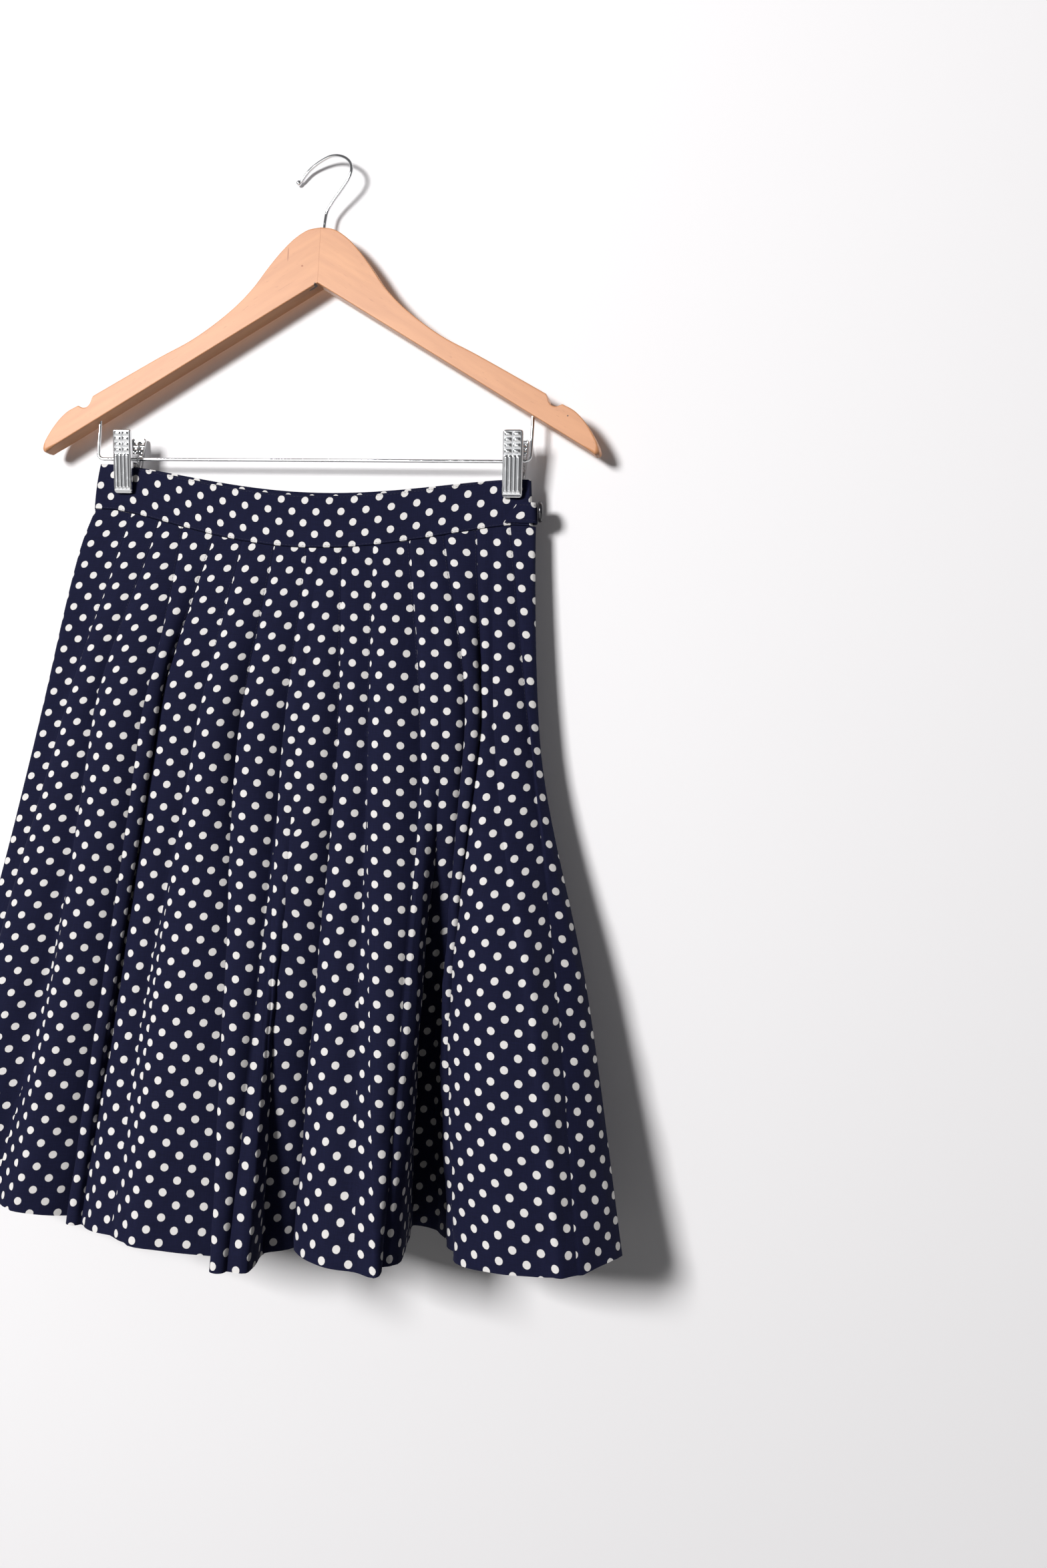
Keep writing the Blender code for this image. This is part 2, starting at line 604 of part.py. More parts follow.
def make_jaw(name, clip_x, width, facing, metal):
    """Pressed jaw; its origin is on the bar and it leans out at the top."""
    seat = jaw_seat()
    outline = jaw_profile(seat)
    build = bmesh.new()
    left = [build.verts.new((-width / 2.0 * MM, (seat - y) * MM, z * MM)) for y, z in outline]
    face = build.faces.new(left)
    moved = bmesh.ops.extrude_face_region(build, geom=[face])
    right = [item for item in moved["geom"] if isinstance(item, bmesh.types.BMVert)]
    bmesh.ops.translate(build, verts=right, vec=(width * MM, 0.0, 0.0))
    bmesh.ops.recalc_face_normals(build, faces=build.faces)
    mesh = bpy.data.meshes.new(name)
    build.to_mesh(mesh)
    build.free()
    mesh.materials.append(metal)
    jaw = bpy.data.objects.new(name, mesh)
    bpy.context.scene.collection.objects.link(jaw)
    hollow_centre = seat - JAW_SHEET - JAW_BELOW
    hollow_size = (width - 2.0 * JAW_SHEET, 2.0 * JAW_BELOW, 4.0 * JAW_BELOW)
    hollow = make_block(f"{name}_hollow", hollow_size, (0.0, hollow_centre, 0.0))
    pivot = make_cylinder(f"{name}_pivot", BAR_WIRE + SEAM_GAP, 2.0 * width)
    pivot.rotation_euler = (0.0, math.pi / 2.0, 0.0)
    for cutter in (hollow, pivot):
        cutter.parent = jaw
        add_cutter(jaw, cutter)
    turn = 0.0 if facing > 0 else math.pi
    jaw.rotation_euler = (-JAW_LEAN, 0.0, turn)
    jaw.location = (clip_x * MM, 0.0, BAR_Z * MM)


def make_spring(name, clip_x, metal):
    """Coiled spring about the bar, as a plain sleeve."""
    sleeve = make_cylinder(name, SPRING_RADIUS, SPRING_WIDTH, metal, 16)
    bore = make_cylinder(f"{name}_bore", BAR_WIRE + SEAM_GAP, 2.0 * SPRING_WIDTH)
    bore.parent = sleeve
    add_cutter(sleeve, bore)
    sleeve.rotation_euler = (0.0, math.pi / 2.0, 0.0)
    sleeve.location = (clip_x * MM, 0.0, BAR_Z * MM)


def make_clips(metal):
    for label, clip_x in zip(("left", "right"), CLIP_X):
        make_jaw(f"clip_{label}_front_jaw", clip_x, JAW_WIDTHS[0], -1, metal)
        make_jaw(f"clip_{label}_rear_jaw", clip_x, JAW_WIDTHS[1], 1, metal)
        make_spring(f"clip_{label}_spring", clip_x, metal)


def main():
    clear_scene()
    cloth = make_material("navy dotted cotton", NAVY, 0.85)
    wood = make_material("varnished beech", BEECH, 0.4)
    chrome = make_material("chromed steel", CHROME, 0.12, 1.0)
    horn = make_material("dark horn button", HORN, 0.3)
    make_skirt(cloth)
    make_band("waistband_front", FRONT_BELLY, FRONT_SAG, -1, cloth)
    make_band("waistband_back", BACK_BELLY, BACK_SAG, 1, cloth)
    make_tab(cloth)
    make_button(horn)
    make_hanger(wood)
    make_hook(chrome)
    make_bar(chrome)
    make_clips(chrome)


main()
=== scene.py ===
"""Looks of a pleated polka-dot skirt hung by two clips from a wooden hanger.

Lengths are millimetres in the tables and formulas and become metres in the meshes.
X runs to the viewer's right, Y away from the viewer and Z up, and the origin is the
inside top of the hanger's hook.
"""

import math
from collections import namedtuple

import bmesh
import bpy
import numpy as np
from bpy.props import FloatProperty, FloatVectorProperty, PointerProperty
from mathutils import Matrix


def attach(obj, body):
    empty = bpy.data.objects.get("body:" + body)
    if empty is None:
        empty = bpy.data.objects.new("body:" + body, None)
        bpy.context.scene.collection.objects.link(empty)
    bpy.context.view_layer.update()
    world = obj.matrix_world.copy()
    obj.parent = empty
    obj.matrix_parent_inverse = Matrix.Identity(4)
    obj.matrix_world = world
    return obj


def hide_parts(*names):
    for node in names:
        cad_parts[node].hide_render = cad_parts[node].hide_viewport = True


bl_info = {
    "name": "Pleated skirt on a clip hanger",
    "version": (1, 0, 0),
    "blender": (4, 5, 0),
    "location": "View3D > Sidebar > Skirt",
    "description": "Builds the cloth, wood and chrome of a skirt on its hanger",
    "category": "Object",
}

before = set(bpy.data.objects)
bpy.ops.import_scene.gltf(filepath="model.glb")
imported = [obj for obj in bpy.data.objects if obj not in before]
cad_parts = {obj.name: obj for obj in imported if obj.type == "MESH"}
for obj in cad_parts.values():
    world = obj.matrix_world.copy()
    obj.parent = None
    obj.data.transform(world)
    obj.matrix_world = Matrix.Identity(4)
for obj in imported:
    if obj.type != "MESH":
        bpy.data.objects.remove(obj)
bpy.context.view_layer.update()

MM = 0.001
BODY = "root"

# Gaps and cloth
SEAM_GAP = 0.3
CLOTH_WALL = 0.55
HEM_WALL = 1.3
HEM_DEPTH = 24.0
BAND_CLOTH = 2.0

# Waistband, its lower edge (the waist seam) and its upper edge
BAND_LEFT = (-176.5, -173.5)
BAND_RIGHT = (174.5, 171.5)
BAND_BULGE = 2.2
CLIP_SPAN = 155.0
SEAM_ENDS = (-269.0, -276.0)
TOP_ENDS = (-233.6, -242.0)
FRONT_SAG = (24.4, 19.3)
BACK_SAG = (20.0, 15.0)
SAG_REACH = 160.0
SAG_POWER = 1.3
BELLY_REACH = 150.0
FRONT_BELLY = (8.0, 6.0)
BACK_BELLY = (3.0, 2.0)

# Relief of the waistband: its rounded lip, the groove of its topstitching as depth and
# width, its waves as height and two lengths, the swell beside a clip as height and reach,
# and the crease at the closure as depth, x, slope, z and width
BAND_LIP = 0.9
BAND_GROOVE = (0.28, 0.8)
BAND_WAVE = (0.35, 47.0, 90.0)
CLIP_PULL = (0.5, 5.0)
CLOSURE_CREASE = (0.8, 160.0, 0.7, -262.0, 2.2)

# Skirt panels: heights are shares of the way from the waist seam to the hem
HEIGHTS = (0.0, 0.30, 0.65, 1.0)
SPAN_SAMPLES = 7
PANEL_ROWS = 67
WAIST_OUT = 1.7
HIP_REACH = 205.0
FRONT_HIP = (14.0, 1.0)
BACK_HIP = (10.0, -1.0)
SEWN_STEP = (0.5, 1.5)
SEWN_TUCK = -0.8
FREE_TUCK = -2.0
SEWN_SWELL = (0.3, 1.5)
SEAM_TURN = (1.5, 3.0, 8.0, 10.0)
SEAM_INSET = (1.5, 3.0, 4.0, 5.0)
SIDE_DEPTH = (0.0, -3.0, -12.0, -28.0)
SIDE_HEIGHTS = (0.0, 0.06, 0.30, 0.65, 1.0)
LEFT_SIDE = (-176.0, -186.5, -209.0, -239.0, -267.0)
RIGHT_SIDE = (177.0, 178.5, 189.5, 236.0, 274.0)
SIDE_HEM_Z = -785.0
PLEAT_TAKE = 24.0

# A fold's x at the waist, where its stitching ends, at mid length and at the hem,
# how far its edge stands out, how far the cloth tucks under it and dips behind it,
# how far the cloth after it swells, the hem's height, and if it is stitched down.
FOLD_COLUMNS = (
    "name waist end mid hem out_mid out_hem tuck_mid tuck_hem "
    "dip_mid dip_hem swell_mid swell_hem hem_z sewn"
)
Fold = namedtuple("Fold", FOLD_COLUMNS)

FRONT_FOLDS = (
    Fold("A", -143, -186, -216, -250, 30, 46, 5, 8, 7, 12, 3, 4, -784, True),
    Fold("B", -119, -158, -164, -174, 36, 66, -7, -20, 6, 12, 2, 2, -796, True),
    Fold("C", -98, -112, -120, -127, 32, 56, 6, 10, 10, 18, 1, 1, -803, True),
    Fold("D", -71, -106, -111, -114, 33, 61, -3, -4, 1, 2, 2, 3, -803, True),
    Fold("E", -47, -71, -79, -69, 44, 86, -8, -16, 6, 9, 0, 0, -801, True),
    Fold("F", -20, -37, -20, 4, 48, 100, 4, 7, 10, 26, 1, 1, -806, True),
    Fold("G", 6, -1, 10, 26, 48, 98, -7, -12, 0, 0, 0, 0, -806, True),
    Fold("G valley", 17, 13, 9, 21, 38, 60, 2, 3, -6, -20, 3, 10, -805, False),
    Fold("H", 33, 41, 43, 47, 36, 60, 6, 9, 14, 34, 5, 10, -798, True),
    Fold("I", 57, 65, 87, 114, 46, 90, -10, -14, 6, 5, 1, 0, -800, True),
    Fold("J", 84, 105, 116, 123, 42, 74, -5, -5, -2, -6, 0, 0, -796, True),
    Fold("J valley", 97, 121, 122, 132, -2, -10, -18, -22, 1, 4, 0, 0, -797, False),
    Fold("K", 110, 138, 135, 148, 10, 10, -4, -6, 4, 8, 0, 0, -799, True),
    Fold("L", 134, 147, 141, 159, 26, 46, 2, -2, 8, 16, 8, 8, -798, True),
    Fold("L crease", 147, 160, 203, 238, 42, 66, -6, -6, 1, 1, 0, 0, -792, False),
    Fold("M", 159, 184, 222, 252, 28, 58, -4, -4, -2, -2, -2, -3, -791, True),
)

# The back panel's folds, as seen from behind
BACK_FOLDS = (
    Fold("a", -146, -176, -203, -232, 4, 8, 5, 9, 8, 16, 3, 6, -790, True),
    Fold("b", -121, -148, -170, -193, 12, 26, -7, -16, 6, 12, 2, 3, -794, True),
    Fold("c", -96, -118, -132, -146, 14, 30, 5, 9, 5, 8, 2, 4, -797, True),
    Fold("d", -71, -86, -96, -106, 16, 34, -6, -12, 4, 5, 2, 3, -799, True),
    Fold("e", -47, -56, -58, -66, 12, 28, 6, 10, 10, 30, 3, 6, -801, True),
    Fold("f", -23, -27, -22, -24, 16, 34, -7, -16, 5, 8, 2, 2, -802, True),
    Fold("g", 2, 2, 8, 4, 14, 30, 4, 8, 9, 24, 3, 5, -803, True),
    Fold("h", 27, 32, 38, 42, 15, 33, -6, -14, 4, 6, 2, 3, -802, True),
    Fold("i", 52, 62, 66, 72, 10, 24, 6, 10, 12, 32, 4, 8, -801, True),
    Fold("j", 77, 92, 104, 116, 15, 34, -8, -18, 6, 9, 2, 3, -799, True),
    Fold("k", 102, 121, 136, 152, 12, 26, 5, 9, 10, 26, 3, 6, -797, True),
    Fold("l", 127, 150, 172, 198, 12, 22, -8, -18, 5, 8, 2, 2, -793, True),
    Fold("m", 152, 180, 210, 240, 4, 4, 4, 8, 8, 14, 2, 2, -789, True),
)

# How high the cloth rolls up beside each stitched line, at shares of the panel's height,
# and how much of that each strip has, named by the fold at its left
ROLL_HEIGHTS = (0.0, 0.14, 0.30, 0.62, 1.0)
ROLLS = (0.6, 5.0, 10.0, 9.5, 5.5)
ROLL_SHARES = {"A": 0.5, "B": 1.1, "C": 1.0, "D": 0.3, "E": 1.1, "F": 0.8, "G": 0.9, "H": 0.3,
               "I": 0.7, "J": 0.8, "K": 0.8, "L": 0.5, "M": 0.0}
BACK_ROLL = 0.6
ROLL_FALL = 0.8
ROLL_SCALE = 2.38

# Shallow waves of the free cloth: height, length across, length down and start
CLOTH_WAVES = ((0.55, 61.0, 240.0, 0.0), (0.30, 27.0, -150.0, 1.3))
FREE_FROM = (0.25, 0.7)

# Puckers beside a stitched line: height, pitch and shift from line to line; and where
# down the panel they fade
PUCKER = (0.16, 9.5, 1.7)
PUCKER_FADE = (0.24, 0.34)
SEAM_GROOVE = (0.5, 0.7)

# Sewing
STITCH = 2.2
STITCH_PITCH = 2.6
STITCH_RADIUS = 0.12
STITCH_RINGS = (0.15, 0.85, 1.0, 0.85, 0.15)
STITCH_SIDES = 6
TOPSTITCH = 1.6
SEWN_SHARE = 0.30
BAND_STITCH = 2.2

# Closure
TAB_CLOTH = 1.2
TAB_TOP = -259.5
TAB_BOTTOM = -274.5
TAB_FRONT_X = (154.0, 163.0)
TAB_BACK_X = 162.0
BUTTON_RADIUS = 7.5
BUTTON_THICK = 3.0
BUTTON_Z = -266.0
BUTTON_TURN = math.radians(15.0)
BUTTON_EYE_RING = 2.2
BUTTON_THREAD = 0.28

# Wooden hanger
ARM_THICK = 14.0
ARM_EDGE = 1.0
TIP_EDGE = 3.2
TIP_REACH = 14.0
ARM_INSET = 0.6
ARM_STATIONS = 260
ARM_CROWDING = 1.6
ARM_SLOPE = 0.584
CROTCH_Z = -97.1

# Dark marks in the wood: middle, half lengths and colour of each, and the share of the
# half lengths at which a mark starts and is full
MARK_EDGE = (1.1, 0.7)
WOOD_MARKS_AND_SLOT_SHADE = (
    # The first two marks are the slot under the apex: painted shade, dark brown in place of the
    # slot's depth. The others are a crack and two knots.
    ((-4.5, -3.0, -99.5), (4.2, 1.1, 4.0), "#2A1810"),
    ((-2.0, -5.0, -98.0), (1.2, 3.0, 2.0), "#2A1810"),
    ((-24.8, -7.0, -75.0), (0.45, 3.0, 5.5), "#A0603A"),
    ((-13.0, -7.0, -84.0), (0.9, 2.0, 0.9), "#A8602F"),
    ((197.0, -7.0, -197.5), (0.6, 2.0, 0.6), "#3A2418"),
)

# Outline of an arm: from the hump to the notch, the notch and round the tip
ARM_START = 0.04
ARM_SHOULDER = (
    (ARM_START, -55.0), (10.0, -56.6), (20.0, -62.5), (30.0, -72.0), (40.0, -84.0),
    (52.0, -100.0), (68.0, -116.0), (97.0, -137.0), (127.0, -152.5), (180.0, -181.3),
)
ARM_NOTCH = ((180.8, -183.0), (182.2, -187.0), (184.8, -189.8), (188.4, -190.4), (192.4, -188.8))
ARM_TIP = (
    (202.0, -194.0), (212.0, -204.5), (218.6, -214.5), (221.4, -221.0), (221.0, -224.4),
    (218.2, -225.1),
)
ARM_HEEL_X = 212.0

# Hook, bar and clips
HOOK_WIRE = 1.25
HOOK_TWIST = math.radians(16.0)
HOOK_PATH = (
    (0.0, -66.0), (0.0, -56.0), (0.6, -47.5), (1.9, -40.8), (6.6, -34.0), (14.2, -25.8),
    (19.9, -18.8), (22.2, -12.6), (20.6, -6.6), (14.4, -1.4), (4.0, 1.25), (-6.5, -1.0),
    (-16.6, -6.0), (-21.8, -10.8), (-24.4, -13.6), (-28.6, -14.8),
)
HOOK_BALL = 2.2
WIRE_SIDES = 20
BALL_SIDES = 24
SPRING_SIDES = 8
BAR_WIRE = 1.3
BAR_Z = -229.0
BAR_CENTRE = -3.0
BAR_HALF = 173.0
BAR_CORNER = 4.5
BAR_TOP_Z = -186.0
CLIP_X = (-149.5, 159.0)
JAW_ABOVE = 21.6
JAW_BELOW = 26.4
JAW_WIDTHS = (14.8, 12.4)
JAW_DEPTH = 4.5
JAW_SHEET = 0.7
JAW_CORNER = 1.1
PLATE_CORNER = 1.8
RIB_FLAT = 1.7
RIB_HEIGHT = 0.75
RIB_ROWS = (6.2, 4.1)
FLANGE_END = 2.2
FLANGE_SPREAD = 15.0
LIP_HEIGHT = 2.6
CROWN_HEIGHT = 1.2
LIP_TURN = 1.6
CROWN_TURN = 0.9
JAW_LEAN = math.radians(10.0)
EAR_RADIUS = 3.8
EAR_FOOT = 3.2
EAR_OVERLAP = 1.5
SPRING_RADIUS = 2.9
SPRING_WIRE = 0.45
SPRING_WIDTH = 8.4
SPRING_TURNS = 6

# Camera
CAMERA_PLACE = (374.2, -929.6, -468.1)
CAMERA_YAW = math.radians(-11.86)
CAMERA_PITCH = math.radians(0.25)
CAMERA_ROLL = math.radians(3.37)

# Wall, floor and lights
WALL_TOP_Y = 9.0
WALL_LEAN = 29.5 / 800.0
WALL_REACH = 4200.0
FLOOR_Z = -1350.0
LAMP_TARGET = (0.0, 0.0, -450.0)
LAMPS = (
    ("key", (-1450.0, -3100.0, 480.0), 850.0, "key"),
    ("screen", (-1250.0, -2800.0, -550.0), 2200.0, "screen"),
    ("back right", (2300.0, 1100.0, 500.0), 1500.0, "back"),
    ("back left", (-1700.0, 2000.0, 500.0), 1500.0, "back"),
)

# World: colours below and above, heights between which they mix, and its strength for
# glossy rays and as the camera sees it
BELOW = "#FFFFFF"
ABOVE = "#DCDCDE"
HORIZON = (-0.6, 0.4)
GLOSSY_FILL = 0.2
SEEN_FILL = 0.85


def linear(code):
    """A #RRGGBB colour as linear red, green and blue."""
    channels = [int(code[i:i + 2], 16) / 255.0 for i in (1, 3, 5)]
    return tuple(c / 12.92 if c <= 0.04045 else ((c + 0.055) / 1.055) ** 2.4 for c in channels)


def colour_setting(name, description, code):
    return FloatVectorProperty(name=name, description=description, default=linear(code),
                               subtype="COLOR", min=0.0, max=1.0)


def length_setting(name, description, length):
    return FloatProperty(name=name, description=description, default=length * MM, unit="LENGTH")


def power_setting(name, description, power):
    return FloatProperty(name=name, description=description, default=power, unit="POWER")


class ClothSettings(bpy.types.PropertyGroup):
    navy: colour_setting("Ground", "Colour of the cotton's ground", "#14162F")
    dot: colour_setting("Dots", "Colour of the printed dots", "#E0DDDB")
    dot_size: length_setting("Dot size", "Diameter of a dot", 5.5)
    repeat_across: length_setting(
        "Repeat across", "Distance between dots in a row of the print", 19.4)
    repeat_down: length_setting(
        "Repeat down", "Distance between dots in a column of the print", 17.0)


class HangerSettings(bpy.types.PropertyGroup):
    beech: colour_setting("Beech", "Colour of the varnished wood", "#D6986A")
    beech_dark: colour_setting("Grain", "Colour of the wood's darker grain", "#B4774F")
    chrome: colour_setting("Chrome", "Colour of the plated wire and clips", "#D9DADC")


class StageSettings(bpy.types.PropertyGroup):
    lens: FloatProperty(
        name="Lens", description="Focal length of the camera in millimetres",
        default=30.0, min=10.0, max=200.0)
    key: power_setting("Key light", "Power of the large soft light at the upper left", 148.0)
    back: power_setting("Back lights", "Power of each soft light behind the wall", 30.0)
    screen: power_setting("Screen", "Power of the wide screen that the chrome reflects", 11.0)
    fill: FloatProperty(
        name="Room light", description="Strength of the light from all around",
        default=0.14, min=0.0)


def smooth_through(levels, values, at):
    """Monotone cubic curve through values given at levels, read at each place in at."""
    levels = np.asarray(levels, float)
    values = np.asarray(values, float)
    at = np.asarray(at, float)
    width = np.diff(levels)
    slope = np.diff(values) / width
    product = slope[:-1] * slope[1:]
    total = np.where(product > 0.0, slope[:-1] + slope[1:], 1.0)
    middle = np.where(product > 0.0, 2.0 * product / total, 0.0)
    tangent = np.concatenate([slope[:1], middle, slope[-1:]])
    cell = np.clip(np.searchsorted(levels, at, side="right") - 1, 0, len(width) - 1)
    t = (at - levels[cell]) / width[cell]
    rise = 3.0 * t**2 - 2.0 * t**3
    lead = width[cell] * (t - 2.0 * t**2 + t**3)
    trail = width[cell] * (t**3 - t**2)
    start = values[cell] + lead * tangent[cell]
    return start + rise * (values[cell + 1] - values[cell]) + trail * tangent[cell + 1]


def flow_through(knots, samples):
    """Centripetal Catmull-Rom curve through each row of knots (rows, knots, 2)."""
    knots = np.asarray(knots, float)
    before = 2.0 * knots[:, :1] - knots[:, 1:2]
    after = 2.0 * knots[:, -1:] - knots[:, -2:-1]
    points = np.concatenate([before, knots, after], axis=1)
    steps = np.maximum(np.sqrt(np.linalg.norm(np.diff(points, axis=1), axis=2)), 1e-6)
    time = np.concatenate([np.zeros((len(knots), 1)), np.cumsum(steps, axis=1)], axis=1)
    p = [points[:, i:points.shape[1] - 3 + i, None] for i in range(4)]
    t = [time[:, i:time.shape[1] - 3 + i, None] for i in range(4)]
    now = t[1] + (t[2] - t[1]) * np.arange(samples) / samples

    def blend(start, end, first, last):
        weight = (now - first) / (last - first)
        return start + (end - start) * weight[..., None]

    a1 = blend(p[0], p[1], t[0], t[1])
    a2 = blend(p[1], p[2], t[1], t[2])
    a3 = blend(p[2], p[3], t[2], t[3])
    curve = blend(blend(a1, a2, t[0], t[2]), blend(a2, a3, t[1], t[3]), t[1], t[2])
    curve = curve.reshape(len(knots), -1, knots.shape[2])
    return np.concatenate([curve, knots[:, -1:]], axis=1)


def step_between(low, high, value):
    """0 below low, 1 above high and a smooth rise between them."""
    share = np.clip((value - low) / (high - low), 0.0, 1.0)
    return share**2 * (3.0 - 2.0 * share)


def sag(x, ends, depth):
    """Height of a band edge held by the clips and sagging between them."""
    x = np.asarray(x, float)
    held = ends[0] + (ends[1] - ends[0]) * (x + CLIP_SPAN) / (2.0 * CLIP_SPAN)
    angle = np.clip(np.abs(x) / SAG_REACH, 0.0, 1.0) * math.pi / 2.0
    return held - depth * np.maximum(np.cos(angle), 0.0) ** SAG_POWER


def belly(x):
    """How much the cloth between the clips bows out, from 0 at the clips to 1."""
    share = np.clip(np.abs(np.asarray(x, float)) / BELLY_REACH, 0.0, 1.0)
    return (1.0 - share**2) ** 2


def path_lengths(path):
    """Length along path (n, 3) from its start to each point."""
    return np.concatenate([[0.0], np.cumsum(np.linalg.norm(np.diff(path, axis=0), axis=1))])


def read_at(steps, arc, values):
    """Columns of values (n, columns), which are given at the lengths arc, read at steps."""
    return np.stack([np.interp(steps, arc, column) for column in values.T], axis=-1)


def cell_corners(grid):
    """The four corners of each cell of a grid, each as a grid of its own."""
    return grid[:-1, :-1], grid[1:, :-1], grid[1:, 1:], grid[:-1, 1:]


def grid_cells(rows, columns, first=0):
    """Vertex numbers of a grid's cells, as (cells, 4)."""
    index = first + np.arange(rows * columns).reshape(rows, columns)
    return np.stack(cell_corners(index), axis=-1).reshape(-1, 4)


def add_object(name, data):
    """An object that shows data, linked into the scene."""
    item = bpy.data.objects.new(name, data)
    bpy.context.scene.collection.objects.link(item)
    return item


def add_piece(name, points, faces, material, slot, uv=None, sharp=40.0, closed=True, outward=None):
    """A piece from points in millimetres; its doubles are merged and its faces face out."""
    mesh = bpy.data.meshes.new(name)
    mesh.from_pydata((np.asarray(points).reshape(-1, 3) * MM).tolist(), [], faces.tolist())
    if uv is not None:
        layer = mesh.uv_layers.new(name="Cloth")
        layer.data.foreach_set("uv", (np.asarray(uv) * MM).astype(np.float32).ravel())
    mesh.materials.append(material)
    repair = bmesh.new()
    repair.from_mesh(mesh)
    bmesh.ops.remove_doubles(repair, verts=repair.verts, dist=1e-6)
    bmesh.ops.dissolve_degenerate(repair, edges=repair.edges, dist=1e-7)
    if closed:
        bmesh.ops.recalc_face_normals(repair, faces=repair.faces)
    elif sum((face.normal * face.calc_area()).dot(outward) for face in repair.faces) < 0.0:
        bmesh.ops.reverse_faces(repair, faces=repair.faces)
    repair.to_mesh(mesh)
    repair.free()
    mesh.shade_smooth()
    mesh.set_sharp_from_angle(angle=math.radians(sharp))
    piece = add_object(name, mesh)
    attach(piece, BODY)
    return piece


def add_skin(name, grid, material, slot, **more):
    """A piece whose faces are the cells of one grid of points."""
    return add_piece(name, grid, grid_cells(*grid.shape[:2]), material, slot, **more)


def tube_points(path, side, radius, sides):
    """Round wire along path (n, 3): at each point a circle in the plane across the path,
    started from the direction side, with its own radius."""
    tangent = np.gradient(path, axis=0)
    tangent /= np.linalg.norm(tangent, axis=1, keepdims=True)
    side = np.broadcast_to(np.asarray(side, float), path.shape)
    side = side - (side * tangent).sum(axis=1, keepdims=True) * tangent
    side = side / np.linalg.norm(side, axis=1, keepdims=True)
    other = np.cross(tangent, side)
    angle = np.linspace(0.0, 2.0 * math.pi, sides + 1)
    around = (np.cos(angle)[None, :, None] * side[:, None]
              + np.sin(angle)[None, :, None] * other[:, None])
    radius = np.broadcast_to(np.asarray(radius, float), len(path))
    return path[:, None] + around * radius[:, None, None]


def add_wire(name, path, side, radius, sides, material, slot):
    """Wire with rounded ends: the last points at each end close in a half circle."""
    reach = float(np.max(radius))
    arc = path_lengths(path)
    turn = 1.0 - np.cos(np.linspace(0.0, math.pi / 2.0, 6))
    steps = np.concatenate([turn * reach, arc[(arc > reach) & (arc < arc[-1] - reach)],
                            arc[-1] - turn[::-1] * reach])
    full = np.interp(steps, arc, np.broadcast_to(np.asarray(radius, float), len(path)))
    from_end = np.minimum(np.minimum(steps, arc[-1] - steps), reach)
    rounded = full * np.sqrt(np.maximum(1.0 - (1.0 - from_end / reach) ** 2, 0.0))
    if np.ndim(side) == 2:
        side = read_at(steps, arc, side)
    points = tube_points(read_at(steps, arc, path), side, rounded, sides)
    return add_skin(name, points, material, slot)


def add_node(tree, kind, links=None, values=None, **settings):
    """Add a node to tree, with its settings, links into it and its inputs' values; an
    input in links may also be given a colour instead of a socket."""
    node = tree.nodes.new(kind)
    for key, value in settings.items():
        setattr(node, key, value)
    for key, value in (values or {}).items():
        node.inputs[key].default_value = value
    for key, value in (links or {}).items():
        if isinstance(value, bpy.types.NodeSocket):
            tree.links.new(value, node.inputs[key])
        else:
            node.inputs[key].default_value = (*value, 1.0)
    return node


def new_material(name, roughness, metallic=0.0, **sockets):
    """A material with one Principled shader, its tree and the shader."""
    material = bpy.data.materials.new(name)
    material.use_nodes = True
    shader = material.node_tree.nodes["Principled BSDF"]
    shader.inputs["Roughness"].default_value = roughness
    shader.inputs["Metallic"].default_value = metallic
    for key, value in sockets.items():
        shader.inputs[key.replace("_", " ")].default_value = value
    return material, material.node_tree, shader


def material_named(name, build):
    return bpy.data.materials.get(name) or build(name)


